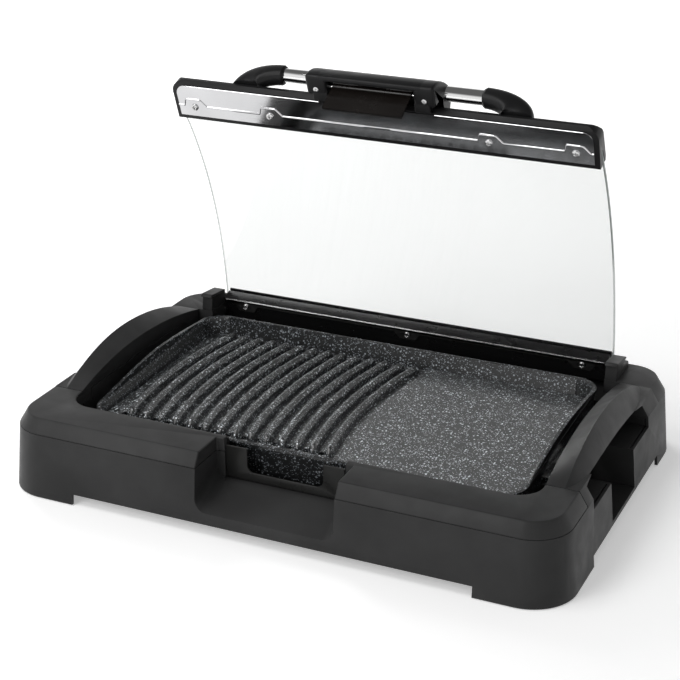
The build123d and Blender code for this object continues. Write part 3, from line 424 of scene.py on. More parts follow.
@dataclass(frozen=True)
class SpeckledCoating:
    """Dark non-stick coating with dense pale specks of two sizes.

    A layer of specks has its cells per metre, a speck's radius in parts of a cell and the part of the cells
    that stays bare. A speck is fully pale within its core, a part of that radius.
    """

    name: str
    base: Colour = (0.010, 0.0112, 0.012)
    speck: Colour = (0.90, 0.96, 1.0)
    roughness: float = 0.33
    coarse: tuple[float, ...] = (320.0, 0.36, 0.62)
    fine: tuple[float, ...] = (760.0, 0.42, 0.58)
    shine: float = 1.0
    core: float = 0.55
    fade: float = 0.15
    clouds: Cells = (45.0, 4.0)
    peel: Cells = (700.0, 2.0)

    def layer(self, net: Wiring, scale: float, size: float, bare: float) -> Output:
        """One layer of specks: a cell shows one where its random value is above the bare part.

        Args:
            net: the material's node tree.
            scale: cells per metre.
            size: radius of a speck in parts of a cell.
            bare: part of the cells that stays bare.

        Returns:
            An output that is 1 on a speck and 0 off it.
        """
        cells = net.add("ShaderNodeTexVoronoi", {"Scale": scale, "Randomness": 1.0})
        net.join(net.where, "Object", cells, "Vector")
        inside = net.spread(cells, "Distance", 1.0, 0.0, size * self.core, size)
        split = net.add("ShaderNodeSeparateColor")
        net.join(cells, "Color", split, "Color")
        chosen = net.spread(split, "Red", 0.0, 1.0, bare, bare + self.fade)
        return net.combine("MULTIPLY", (inside, "Result"), (chosen, "Result"))

    def make(self) -> bpy.types.Material:
        """Build the material."""
        skin = Skin(self.name, {"IOR": PLASTIC_IOR, "Specular IOR Level": self.shine})
        layers = [self.layer(skin, *sizes) for sizes in (self.coarse, self.fine)]
        skin.paint(skin.combine("MAXIMUM", *layers), self.base, self.speck)
        skin.gloss(skin.noise(self.clouds), self.roughness - 0.05, self.roughness + 0.07)
        skin.relief(skin.noise(self.peel), 0.00005, 0.5)
        return skin.done()


@dataclass(frozen=True)
class Metal:
    """Bare metal, brushed along X or polished, with faint wear in its gloss."""

    name: str
    colour: Colour
    roughness: float
    brushed: bool = True
    depth: float = 0.00002
    brushing: Cells = (1600.0, 3.0)
    along: Place = (0.04, 1.0, 1.0)
    wear: Cells = (90.0, 3.0)
    clouds: Cells = (25.0, 3.0)
    unevenness: float = 0.3

    def make(self) -> bpy.types.Material:
        """Build the material."""
        skin = Skin(self.name, {"Metallic": 1.0})
        lines = skin.noise(self.brushing, self.along) if self.brushed else skin.noise(self.wear)
        skin.mottle(skin.noise(self.clouds), self.colour, 0.9, 1.0)
        spread = self.roughness * self.unevenness
        skin.gloss(lines, self.roughness - spread, self.roughness + spread)
        skin.relief(lines, self.depth, 0.25)
        return skin.done()


@dataclass(frozen=True)
class HeatedSteel:
    """Steel of the heating tube, darkened and tinted unevenly by heat."""

    name: str
    burnt: Colour = (0.16, 0.13, 0.11)
    bare: Colour = (0.3, 0.29, 0.28)
    bands: Cells = (35.0, 4.0)
    crust: Cells = (500.0, 4.0)

    def make(self) -> bpy.types.Material:
        """Build the material."""
        skin = Skin(self.name, {"Metallic": 1.0})
        bands = skin.spread(skin.noise(self.bands), "Fac", 0.0, 1.0)
        skin.paint((bands, "Result"), self.burnt, self.bare)
        crust = skin.noise(self.crust)
        skin.gloss(crust, 0.35, 0.6)
        skin.relief(crust, 0.00005, 0.4)
        return skin.done()


@dataclass(frozen=True)
class Glass:
    """Clear tempered glass with a faint cool tint."""

    name: str
    colour: Colour = (0.835, 0.845, 0.84)
    film: Cells = (30.0, 4.0)

    def make(self) -> bpy.types.Material:
        """Build the material."""
        plain = {"IOR": GLASS_IOR, "Transmission Weight": 1.0, "Base Color": (*self.colour, 1.0)}
        skin = Skin(self.name, plain)
        skin.gloss(skin.noise(self.film), 0.0, 0.015)
        return skin.done()


@dataclass(frozen=True)
class GroundEdge:
    """Finely ground edge of the glass, milky and half see-through."""

    name: str
    colour: Colour = (0.62, 0.68, 0.66)
    opacity: float = 0.55
    grinding: Cells = (700.0, 4.0)

    def make(self) -> bpy.types.Material:
        """Build the material."""
        skin = Skin(self.name, {"IOR": GLASS_IOR, "Alpha": self.opacity})
        grinding = skin.noise(self.grinding)
        skin.mottle(grinding, self.colour, 1.0, 1.15)
        skin.gloss(grinding, 0.4, 0.6)
        return skin.done()


@dataclass(frozen=True)
class Rubber:
    """Matte rubber with a powdery grain."""

    name: str
    colour: Colour = (0.02, 0.02, 0.02)
    dust: Cells = (300.0, 4.0)

    def make(self) -> bpy.types.Material:
        """Build the material."""
        skin = Skin(self.name, {"IOR": GLASS_IOR})
        dust = skin.noise(self.dust)
        skin.mottle(dust, self.colour, 1.0, 1.8)
        skin.gloss(dust, 0.75, 0.9)
        skin.relief(dust, 0.0001, 0.4)
        return skin.done()


class Finish(Enum):
    """Finishes of the grill's own pieces."""

    SHELL = MouldedPlastic("shell_plastic", (0.034, 0.034, 0.0342))
    CAP = MouldedPlastic("cap_plastic", (0.012, 0.012, 0.0125), 0.36, 1600.0, 0.00003)
    GLOSS = MouldedPlastic("gloss_black", (0.009, 0.009, 0.0095), 0.2, 500.0, 0.00001, 0.15, 0.4)
    RAIL = MouldedPlastic("rail_plastic", (0.008, 0.008, 0.0084), 0.3, 1200.0, 0.00002, 0.15, 0.2)
    LINER = MouldedPlastic("liner_sheet", (0.022, 0.022, 0.022), 0.45, 900.0)
    TRAY = MouldedPlastic("tray_coating", (0.016, 0.016, 0.0155), 0.3, 1200.0, 0.00003)
    COATING = SpeckledCoating("plate_coating")
    # Darker copy of the plate coating, with dim specks and little shine: painted shade on the casting's
    # walls, which bear the same coating as the floor.
    PAINTED_SHADE_COATING = SpeckledCoating("plate_coating_painted_shade", (0.008, 0.0086, 0.009), (0.38, 0.41, 0.44), shine=0.45)
    FLAP = MouldedPlastic("flap_enamel", (0.010, 0.008, 0.007), 0.24, 500.0, 0.00001, 0.15, 0.4)
    STRIP = Metal("strip_steel", (0.5, 0.5, 0.5), 0.12, True, 0.000006)
    SHEET = Metal("bright_sheet", (0.62, 0.62, 0.63), 0.28)
    BRACKET = Metal("bracket_steel", (0.5, 0.5, 0.5), 0.32)
    SCREW = Metal("screw_steel", (0.6, 0.6, 0.6), 0.22, False)
    CHROME = Metal("pin_metal", (0.78, 0.78, 0.78), 0.06, False, 0.000005)
    POLISHED = Metal("polished_steel", (0.62, 0.62, 0.63), 0.09, True, 0.000006)
    ELEMENT = HeatedSteel("element_steel")
    GLASS = Glass("clear_glass")
    GROUND = GroundEdge("ground_glass_edge")
    RUBBER = Rubber("rubber")

    @cache
    def material(self) -> bpy.types.Material:
        """Material of the finish, made once."""
        return self.value.make()

    def dress(self, obj: bpy.types.Object) -> None:
        """Put the finish on an object's material slots."""
        slots = obj.data.materials
        if not slots:
            slots.append(self.material())
        for index in range(len(slots)):
            slots[index] = self.material()
# The first row dresses every node, and the later ones take theirs over.
NODES_IN: dict[Finish, Sequence[str]] = {
    Finish.SHELL: list(frame["nodes"]),
    Finish.LINER: ["front_liner", "rear_liner"],
    Finish.SHEET: ["heat_shield"],
    Finish.RUBBER: ["rubber_feet"],
    Finish.BRACKET: ["plate_rests", "element_clamps", "terminal_shroud", "sensor_tube"],
    Finish.SCREW: [node for node in frame["nodes"] if node.endswith("screws")],
    Finish.COATING: ["cooking_plate"],
    Finish.ELEMENT: ["heating_element"],
    Finish.CHROME: ["terminal_pins", "hinge_pins", "catch_pin", "handle_bar"],
    Finish.TRAY: ["drip_tray"],
    Finish.GLASS: ["lid_glass"],
    Finish.GLOSS: ["lid_rear_rail", "grip_block", "catch_flap"],
    Finish.CAP: ["lid_front_cap", "handle_elbow_left", "handle_elbow_right"],
    Finish.POLISHED: ["lid_rear_strip", "lid_front_plate"],
}

@dataclass(frozen=True)
class Rounding:
    """Radius of a piece's rounded edges in millimetres, and how finely they are drawn."""

    width: float
    segments: int
    sharper_than: float = 28.0


@dataclass(frozen=True)
class Corner:
    """Inner corners of the foot notches, at a height and at given distances from the middle."""

    radius: float = 7.0
    z: float = 12.0
    x: float = 204.0
    y: tuple[float, ...] = (-98.0, 118.0)
    near: float = 0.2

    def holds(self, point: Vector) -> bool:
        """Say whether a point in metres lies on such a corner."""
        x, y, z = (c / MM for c in point)
        at_x = abs(abs(x) - self.x) < self.near
        at_y = any(abs(y - place) < self.near for place in self.y)
        return abs(z - self.z) < self.near and (at_x or at_y)


@dataclass
class Moulding:
    """A piece that keeps its solid's form and gets its edges rounded, as it comes out of a mould.

    It stands for a CAD node and holds a slot of the record, which is not used. Softened corners get a larger
    radius, and a bend gives new places in millimetres to the solid's points.
    """

    node: str
    slot: str
    rounding: Rounding
    softened: Optional[Corner] = None
    bend: Optional[Bend] = None
    merge_m: float = 2e-6
    flat: float = math.radians(0.5)

    def build(self, finish: Finish) -> bpy.types.Object:
        """Copy the solid's mesh, merge its faces, round its edges and put it in the solid's place.

        Args:
            finish: the piece's finish.

        Returns:
            The new piece, riding on its node's body.
        """
        shape = bmesh.new()
        shape.from_mesh(frame["nodes"][self.node].data)
        bmesh.ops.remove_doubles(shape, verts=shape.verts, dist=self.merge_m)
        bmesh.ops.dissolve_limit(shape, angle_limit=self.flat, verts=shape.verts, edges=shape.edges)
        if self.softened:
            inner = [e for e in shape.edges if all(self.softened.holds(v.co) for v in e.verts)]
            bmesh.ops.bevel(shape, geom=inner, offset=self.softened.radius * MM, segments=6, profile=0.5,
                            affect="EDGES", clamp_overlap=True)
        mesh = bpy.data.meshes.new(f"{self.node}_moulded")
        shape.to_mesh(mesh)
        if self.bend:
            place = np.empty(3 * len(mesh.vertices), dtype=np.float32)
            mesh.vertices.foreach_get("co", place)
            mesh.vertices.foreach_set("co", (self.bend(place.reshape(-1, 3) / MM) * MM).ravel())
            mesh.update()
        shape.free()
        mesh.polygons.foreach_set("use_smooth", np.ones(len(mesh.polygons), dtype=bool))
        piece = linked(f"{self.node}_moulded", mesh)
        bevel = piece.modifiers.new("rounding", "BEVEL")
        bevel.width = self.rounding.width * MM
        bevel.segments = self.rounding.segments
        bevel.limit_method = "ANGLE"
        bevel.angle_limit = math.radians(self.rounding.sharper_than)
        bevel.use_clamp_overlap = True
        bevel.harden_normals = True
        bevel.miter_outer = "MITER_ARC"
        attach(piece, BODY_OF[self.node])
        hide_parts(self.node)
        finish.dress(piece)
        return piece


@dataclass
class BaseShell:
    """Moulded base: housing, rims, side handles, hinge towers and the drip tray."""

    shell_edge: Rounding = Rounding(1.4, 4)
    handle_edge: Rounding = Rounding(3.4, 5)
    tower_edge: Rounding = Rounding(0.9, 3)
    tray_edge: Rounding = Rounding(0.6, 2)

    def build(self) -> None:
        """Build every moulded piece of the base."""
        Moulding("base_housing", "shell_plastic", self.shell_edge, Corner()).build(Finish.SHELL)
        rounded = {
            self.shell_edge: ("front_bezel_left", "front_bezel_right", "rear_bezel"),
            self.handle_edge: ("arch_handle_left", "arch_handle_right"),
            self.tower_edge: ("hinge_tower_left", "hinge_tower_right", "tower_cap_left", "tower_cap_right"),
        }
        for rounding, nodes in rounded.items():
            for node in nodes:
                Moulding(node, "shell_plastic", rounding).build(Finish.SHELL)
        Moulding("drip_tray", "tray_coating", self.tray_edge).build(Finish.TRAY)


@dataclass
class CookingPlate:
    """Cast plate: casting with raised walls, floor with drain holes and flat half, and the bent ribs."""

    edge: Rounding = Rounding(1.0, 2)
    rib_count: int = 14
    last_rib_x: float = 16.0
    pitch: float = 16.5
    bend: float = 500.0
    middle_y: float = -1.5
    front_y: float = -104.6
    back_y: float = 110.0
    floor_z: float = 60.0
    floor_low: float = 44.0
    floor_half_x: float = 215.4
    floor_front_y: float = -121.0
    floor_back_y: float = 117.6
    floor_corner: float = 16.0
    even_rows_y: float = 95.0
    height: float = 8.4
    half_width: float = 4.9
    squareness: float = 0.4
    end_length: float = 4.0
    tip: float = 0.06
    root: float = 1.0
    root_half: float = 0.6
    sink: float = 0.3
    hole_front_y: float = -104.0
    hole_size: float = 6.2
    hole_depth: float = 9.0
    hole_lean: float = 0.02
    flat_rise: float = 2.0
    flat_gap: float = 6.0
    flat_edge: float = 1.2
    flat_knee: float = 0.5
    knee_share: float = 0.7
    wall_from_z: float = 60.0
    wall_front_y: float = -125.0
    wall_run: float = 150.0
    front_lift: float = 4.0
    back_lift: float = 9.0

    def bow(self, y: np.ndarray) -> np.ndarray:
        """Distance of the ribs' circle from its middle tangent: R - (R^2 - (y - m)^2)^0.5."""
        return self.bend - np.sqrt(self.bend ** 2 - (y - self.middle_y) ** 2)

    def raise_walls(self, points: np.ndarray) -> np.ndarray:
        """Lift the tops of the walls, little at the front and more towards the back.

        The lift is f + b s^2 (3 - 2s), s running from 0 to 1 along the front three fifths of the plate.

        Args:
            points: rows of X, Y and Z in millimetres.

        Returns:
            The moved rows.
        """
        s = np.clip((points[:, 1] - self.wall_front_y) / self.wall_run, 0.0, 1.0)
        lift = self.front_lift + self.back_lift * s * s * (3 - 2 * s)
        moved = points.copy()
        moved[:, 2] += np.where(points[:, 2] > self.wall_from_z, lift, 0.0)
        return moved

    def rib_x(self) -> np.ndarray:
        """X of every rib half way back."""
        return self.last_rib_x - np.arange(self.rib_count) * self.pitch

    def floor(self) -> np.ndarray:
        """Rings of the floor, one for each Y.

        Its half width at a distance d < r from a corner's end is h - r + (r^2 - (r - d)^2)^0.5. Between the
        ribs' front ends the top drops into square holes, and right of the last rib it rises along a circle.

        Returns:
            Rings in metres.
        """
        hole_end = self.hole_front_y + self.hole_size
        lean = self.hole_lean
        r = self.floor_corner
        corner = r * (1 - np.cos(np.linspace(0.0, math.pi / 2, 9)))
        rows = [self.floor_front_y + corner, self.floor_back_y - corner,
                [self.hole_front_y - lean, self.hole_front_y, hole_end, hole_end + lean],
                np.linspace(-self.even_rows_y, self.even_rows_y, 30)]
        y = np.unique(np.concatenate(rows))[:, None]
        d = np.minimum(np.minimum(y - self.floor_front_y, self.floor_back_y - y), r)
        half = self.floor_half_x - r + np.sqrt(np.maximum(r * r - (r - d) ** 2, 0.0))
        middle = self.rib_x() + self.bow(np.array(self.hole_front_y)) - self.pitch / 2
        side = self.hole_size / 2 * np.array([-1.0, -1.0, 1.0, 1.0]) + np.array([-lean, 0.0, 0.0, lean])
        fixed = np.sort((middle[:, None] + side[None]).ravel())
        sunk = np.tile([0.0, 1.0, 1.0, 0.0], self.rib_count)
        border = self.last_rib_x + self.half_width + self.flat_gap + self.bow(y)
        ones = np.ones_like(y)
        x = np.concatenate([-half, np.clip(fixed[None], -half, half), border, border + self.flat_knee,
                            border + self.flat_edge, half, half, -half], axis=1)
        in_row = (y > self.hole_front_y - lean / 2) & (y < hole_end + lean / 2)
        dip = np.concatenate([0 * ones, sunk[None] * in_row, np.zeros((len(y), 4))], axis=1)
        level = np.zeros((len(y), len(fixed) + 2))
        rise = np.concatenate([level, self.knee_share * ones, ones, ones], axis=1)
        z = self.floor_z - self.hole_depth * dip + self.flat_rise * rise
        z = np.concatenate([z, np.full((len(y), 2), self.floor_low)], axis=1)
        return np.stack([np.clip(x, -half, half), np.broadcast_to(y, x.shape), z], axis=-1) * MM

    def rib(self, x: float) -> np.ndarray:
        """Rings of one rib.

        Its middle line is a circle of the bend's radius; across it the height is H(1 - u^2)^q, with u the
        distance from the middle line in half widths. Both shrink along a quarter circle at the ends.

        Args:
            x: X of the rib half way back.

        Returns:
            Rings in metres.
        """
        lie = np.linspace(-1.0, 1.0, 44)
        y = self.front_y + (self.back_y - self.front_y) * (0.5 + 0.5 * np.sin(lie * math.pi / 2))
        to_end = np.minimum(y - self.front_y, self.back_y - y)
        shrink = np.sqrt(1 - (1 - np.clip(to_end / self.end_length, self.tip, 1.0)) ** 2)
        u = np.sin(np.linspace(-math.pi / 2, math.pi / 2, 17))
        up = self.height * np.maximum(1 - u ** 2, 0.0) ** self.squareness
        u = np.concatenate([u, [self.root_half, -self.root_half]])
        up = np.concatenate([up, [-self.root, -self.root]])[None]
        xs = (x + self.bow(y))[:, None] + self.half_width * shrink[:, None] * u[None]
        zs = self.floor_z - self.sink + shrink[:, None] * np.maximum(up, 0.0) + np.minimum(up, 0.0)
        ys = np.broadcast_to(y[:, None], xs.shape)
        return np.stack([xs, ys, zs], axis=-1) * MM

    def build(self) -> None:
        """Build the casting, its floor and the ribs on it."""
        casting = Moulding("cooking_plate", "plate_coating", self.edge, bend=self.raise_walls)
        # The casting and its walls take the darker copy of the coating: painted shade, while the floor and
        # ribs keep the plain coating.
        casting.build(Finish.PAINTED_SHADE_COATING)
        floor = Shape("plate_floor").tube(self.floor())
        floor.build(Finish.COATING, "plate", "plate_coating")
        ribs = Shape("plate_ribs")
        for x in self.rib_x():
            ribs.tube(self.rib(x))
        ribs.build(Finish.COATING, "plate", "plate_coating")


@dataclass
class GlassPane:
    """Curved glass of the lid: the space between two equal arcs."""

    start: float = 7.0
    end: float = 276.0
    rise: float = 2.0
    sag: float = 19.0
    thickness: float = 4.0
    half_x: float = 222.5
    edge: float = 1.2
    corner_cut: float = 0.9
    near: float = 0.02

    def build(self) -> None:
        """Build the pane.

        A point of the inner arc at angle a lies at reach m + R sin a and rise b - R(1 - cos a), with R from
        half the span h and the sag s as (h^2 + s^2) / 2s.
        """
        half = (self.end - self.start) / 2
        radius = (half ** 2 + self.sag ** 2) / (2 * self.sag)
        turn = np.linspace(-1.0, 1.0, 49) * math.asin(half / radius)
        reach = (self.start + self.end) / 2 + radius * np.sin(turn)
        rise = self.rise + self.sag - radius * (1 - np.cos(turn))
        inner = np.stack([reach, rise], axis=1)
        outer = np.stack([reach, rise + self.thickness], axis=1)[::-1]
        outline = soft_corners(np.concatenate([inner, outer]), self.corner_cut, 3)
        pane = Shape("lid_pane").tube(lid_to_row(prism(outline, -self.half_x, self.half_x, self.edge)), True)
        glass = pane.build(Finish.GLASS, "lid", "clear_glass", ("lid_glass",))
        glass.data.materials.append(Finish.GROUND.material())
        centre = np.empty(3 * len(glass.data.polygons))
        glass.data.polygons.foreach_get("center", centre)
        at_edge = np.abs(centre[0::3]) > (self.half_x - self.edge - self.near) * MM
        glass.data.polygons.foreach_set("material_index", at_edge.astype(np.int32))


@dataclass
class FrontRail:
    """Front edge of the lid: moulded cap, polished steel plate with its pressed bead, and its screws."""

    cap_edge: Rounding = Rounding(2.4, 4)
    plate_start: float = 265.0
    plate_end: float = 300.0
    plate_half_x: float = 217.5
    plate_round: float = 10.0
    plate_low: float = -4.2
    plate_high: float = -2.8
    chamfer: float = 0.35
    flat_start: float = 0.3
    flat_end: float = 1.0
    bead: float = 1.0
    bead_half: float = 1.3
    bead_form: Outline = ((-1.25, 0.0), (-1.0, 0.0), (-0.62, 0.72), (0.0, 1.0), (0.62, 0.72), (1.0, 0.0),
                          (1.25, 0.0))
    bead_reach: float = 277.0
    jog_reach: float = 284.5
    jog_x: tuple[float, ...] = (-10.5, -9.0, 7.5, 14.5)
    jog_soft: float = 0.8
    screw: PanHead = PanHead(3.8, 2.0)
    screw_x: tuple[float, ...] = (-200.0, -115.0, 115.0, 200.0)
    screw_reach: float = 275.5
    gap_start: float = -12.0
    gap_end: float = 14.0
    gap_fade: float = 2.0

    def steel(self) -> np.ndarray:
        """Rings of the steel plate.

        A rounded bead runs along it, its form given as distances from its middle line in half widths and as
        parts of its height. The line steps round each screw as a trapezoid that is steep on the left, and the
        height falls to nothing at the middle. At an end of the plate, a distance d < r from it, the outer
        edge lies at e - r + (r^2 - (r - d)^2)^0.5.

        Returns:
            Rings of X, reach and rise.
        """
        knots = (np.array(self.screw_x)[:, None] + np.array(self.jog_x)[None]).ravel()
        step = [self.bead_reach, self.jog_reach, self.jog_reach, self.bead_reach]
        border = np.tile(step, len(self.screw_x))
        half, r = self.plate_half_x, self.plate_round
        corner = half - r * (1 - np.cos(np.linspace(0.0, math.pi / 2, 9)))
        gap = [self.gap_start - self.gap_fade, self.gap_start, self.gap_end, self.gap_end + self.gap_fade]
        shifts = self.jog_soft * np.array([-1.0, -0.5, 0.0, 0.5, 1.0])
        softer = (knots[:, None] + shifts[[0, -1]][None]).ravel()
        x = np.unique(np.clip(np.concatenate([knots, softer, -corner, corner, gap]), -half, half))
        line = np.stack([np.interp(x + shift, knots, border) for shift in shifts]).mean(axis=0)
        depth = np.interp(x, gap, [self.bead, 0.0, 0.0, self.bead])
        d = np.minimum(half - np.abs(x), r)
        end = self.plate_end - r + np.sqrt(np.maximum(r * r - (r - d) ** 2, 0.0))
        start, face, back = (np.full_like(x, v) for v in (self.plate_start, self.plate_low, self.plate_high))
        reach = [start, start, start + self.flat_start,
                 *(line + across * self.bead_half for across, _ in self.bead_form),
                 end - self.flat_end, end - self.chamfer, end, end]
        rise = [back, face, face, *(face - share * depth for _, share in self.bead_form),
                face, face, face + self.chamfer, back]
        return at_x(x, np.stack([np.stack(reach, axis=1), np.stack(rise, axis=1)], axis=-1))

    def build(self) -> None:
        """Build the cap, the steel plate and its screws."""
        Moulding("lid_front_cap", "cap_plastic", self.cap_edge).build(Finish.CAP)
        plate = Shape("front_steel_plate").tube(lid_to_row(self.steel()))
        plate.build(Finish.POLISHED, "lid", "polished_steel", ("lid_front_plate",), 40.0)
        lid_screws("front_rail_screws", self.screw_x, self.screw_reach, self.plate_low,
                   ("front_plate_screws",), self.screw)


def lid_screws(name: str, across: Sequence[float], reach: float, rise: float, nodes: Sequence[str],
               head: PanHead) -> None:
    """Build a row of screw heads on the lid's inner side.

    Args:
        name: the piece's name.
        across: X of each head.
        reach: of the row.
        rise: of the heads' feet.
        nodes: CAD nodes that they stand for.
        head: the form of each.
    """
    heads = Shape(name)
    rings = head.rings() * np.array([1.0, 1.0, -1.0])
    for x in across:
        heads.tube(lid_to_row(rings + np.array([x, reach, rise])))
    heads.build(Finish.SCREW, "lid", "screw_steel", nodes, 50.0)


@dataclass
class RearRail:
    """Hinge rail along the glass's back edge, with its steel strip and screws."""

    edge: Rounding = Rounding(1.0, 3)
    strip_edge: Rounding = Rounding(0.35, 2)
    screw: PanHead = PanHead(3.6, 1.9)
    screw_x: tuple[float, ...] = (-193.0, 0.0, 193.0)
    screw_reach: float = 14.0
    strip_low: float = -8.4

    def build(self) -> None:
        """Build the rail, the strip and its screws."""
        Moulding("lid_rear_rail", "gloss_black", self.edge).build(Finish.RAIL)
        Moulding("lid_rear_strip", "polished_steel", self.strip_edge).build(Finish.STRIP)
        lid_screws("rear_rail_screws", self.screw_x, self.screw_reach, self.strip_low,
                   ("rear_strip_screws",), self.screw)


@dataclass
class GripHandle:
    """Handle of the lid: chromed bar, two horn-shaped elbows and the middle block with its window.

    The block's outlines give reach and rise: the back, the under sides that close it for a leg and for the
    top, and a leg's foot.
    """

    bar_reach: float = 307.0
    bar_rise: float = 23.0
    bar_edge: Rounding = Rounding(0.3, 2)
    elbow_inner_x: float = 104.0
    elbow_throw: float = 36.0
    elbow_foot: float = 7.0
    elbow_neck: float = 9.4
    elbow_flare: float = 8.0
    elbow_side: float = 9.2
    elbow_lean: float = 9.0
    elbow_power: float = 2.6
    mouth_length: float = 1.6
    mouth_draw: float = 0.16
    back: Outline = ((282, 9), (282, 16), (286, 27), (294, 32), (303, 33), (311, 31.5), (319, 24),
                     (325.5, 16), (330, 8), (332, 0), (332, -8))
    leg_under: Outline = ((310, -8), (310, 9))
    top_under: Outline = ((326, -8), (326, 9), (310, 9))
    foot: Outline = ((303, 1), (303, -8), (314, -8), (314, 1))
    leg_cut: float = 3.5
    top_cut: float = 3.0
    foot_cut: float = 1.5
    block_half_x: float = 66.5
    window_half_x: float = 45.0
    foot_half_x: float = 60.5
    top_half_x: float = 53.0
    block_round: float = 3.0
    foot_round: float = 1.0
    top_round: float = 0.5
    screw: PanHead = PanHead(2.8, 1.0)
    screw_x: tuple[float, ...] = (-56.0, 56.0)
    screw_reach: float = 317.0
    block_low: float = -8.0

    def elbow(self, side: int) -> np.ndarray:
        """Rings of one elbow.

        Its middle line is a quarter ellipse from the bar's end down to the cap, leaning towards the glass as
        t^2; the sections are superellipses whose width in the ellipse's plane grows as t^1.5.

        Args:
            side: -1 for the left one, 1 for the right one.

        Returns:
            Rings of X, reach and rise.
        """
        t = np.linspace(0.0, 1.0, 26)
        turn = t * math.pi / 2
        drop = self.bar_rise - self.elbow_foot
        middle_x = self.elbow_inner_x + self.elbow_throw * np.sin(turn)
        middle_rise = self.elbow_foot + drop * np.cos(turn)
        way = np.stack([self.elbow_throw * np.cos(turn), -drop * np.sin(turn)], axis=1)
        way = way / np.linalg.norm(way, axis=1, keepdims=True)
        from_end = np.clip((middle_x - self.elbow_inner_x) / self.mouth_length, 0.0, 1.0)
        tight = 1 - self.mouth_draw * (1 - from_end) ** 2
        half = (self.elbow_neck + self.elbow_flare * t ** 1.5) * tight
        flat = self.elbow_side * tight
        c, s = (np.sign(v) * np.abs(v) ** (2 / self.elbow_power) for v in circle(40))
        x = middle_x[:, None] - way[:, 1:2] * half[:, None] * c[None]
        rise = middle_rise[:, None] + way[:, 0:1] * half[:, None] * c[None]
        reach = (self.bar_reach - self.elbow_lean * t ** 2)[:, None] + flat[:, None] * s[None]
        return np.stack([side * x, reach, rise], axis=-1)

    def build(self) -> None:
        """Build the bar, both elbows, the block and its screws."""
        Moulding("handle_bar", "pin_metal", self.bar_edge).build(Finish.CHROME)
        for side, name in ((-1, "left"), (1, "right")):
            elbow = Shape(f"elbow_{name}").tube(lid_to_row(self.elbow(side)))
            elbow.build(Finish.CAP, "lid", "cap_plastic", (f"handle_elbow_{name}",))
        leg = soft_corners(np.array(self.back + self.leg_under, dtype=float), self.leg_cut)
        top = soft_corners(np.array(self.back + self.top_under, dtype=float), self.top_cut)
        foot = soft_corners(np.array(self.foot, dtype=float), self.foot_cut)
        block = Shape("grip_block_body")
        for side in (-1, 1):
            ends = sorted((side * self.window_half_x, side * self.block_half_x))
            block.tube(lid_to_row(prism(leg, *ends, self.block_round, 7)))
            ends = sorted((side * self.window_half_x, side * self.foot_half_x))
            block.tube(lid_to_row(prism(foot, *ends, self.foot_round)))
        block.tube(lid_to_row(prism(top, -self.top_half_x, self.top_half_x, self.top_round)))
        block.build(Finish.CAP, "lid", "gloss_black", ("grip_block",))
        lid_screws("grip_leg_screws", self.screw_x, self.screw_reach, self.block_low, (), self.screw)


@dataclass
class CatchFlap:
    """Bent flap that hangs in the block's window: barrel, blade and a lip with a smiling edge.

    The blade's points give reach and rise, from the lip to its free end.
    """

    half_x: float = 41.0
    sheet: float = 2.5
    barrel: float = 3.4
    barrel_round: float = 0.68
    reach: float = 317.0
    lip_middle: float = 320.4
    lip_ends: float = 324.0
    lip_rise: float = 2.2
    blade: Outline = ((319.6, 1.4), (317.6, -1.2), (316.4, -6.0), (315.0, -13.0), (313.2, -22.0),
                      (312.0, -28.0), (311.6, -30.0))

    def build(self) -> None:
        """Build the flap.

        The lip's edge lies at reach m + (e - m)(x / h)^2, so its ends stand higher than its middle.
        """
        x = np.linspace(-self.half_x, self.half_x, 33)
        edge = self.lip_middle + (self.lip_ends - self.lip_middle) * (x / self.half_x) ** 2
        lip = np.stack([edge, np.full_like(x, self.lip_rise)], axis=1)[:, None]
        blade = np.broadcast_to(np.array(self.blade)[None], (len(x), len(self.blade), 2))
        outline = sweep(np.concatenate([lip, blade], axis=1), self.sheet)
        flap = Shape("catch_flap_sheet").tube(lid_to_row(at_x(x, outline)), True)
        c, s = circle(28)
        barrel = np.stack([self.reach + self.barrel * c, self.barrel * s], axis=1)
        flap.tube(lid_to_row(prism(barrel, -self.half_x, self.half_x, self.barrel_round)))
        flap.build(Finish.FLAP, "catch", "gloss_black", ("catch_flap",), 40.0)


@dataclass(frozen=True)
class Lamp:
    """Square soft lamp: place and side in metres, power in watts and whether glossy surfaces mirror it."""

    name: str
    place: Place
    size: float
    power: float
    mirrored: bool = True

    def hang(self, aim: Place) -> None:
        """Put the lamp in its place, facing a point."""
        data = bpy.data.lights.new(self.name, "AREA")
        data.size = self.size
        data.energy = self.power
        obj = linked(self.name, data)
        obj.location = self.place
        obj.rotation_euler = (Vector(aim) - Vector(self.place)).to_track_quat("-Z", "Y").to_euler()
        obj.visible_glossy = self.mirrored


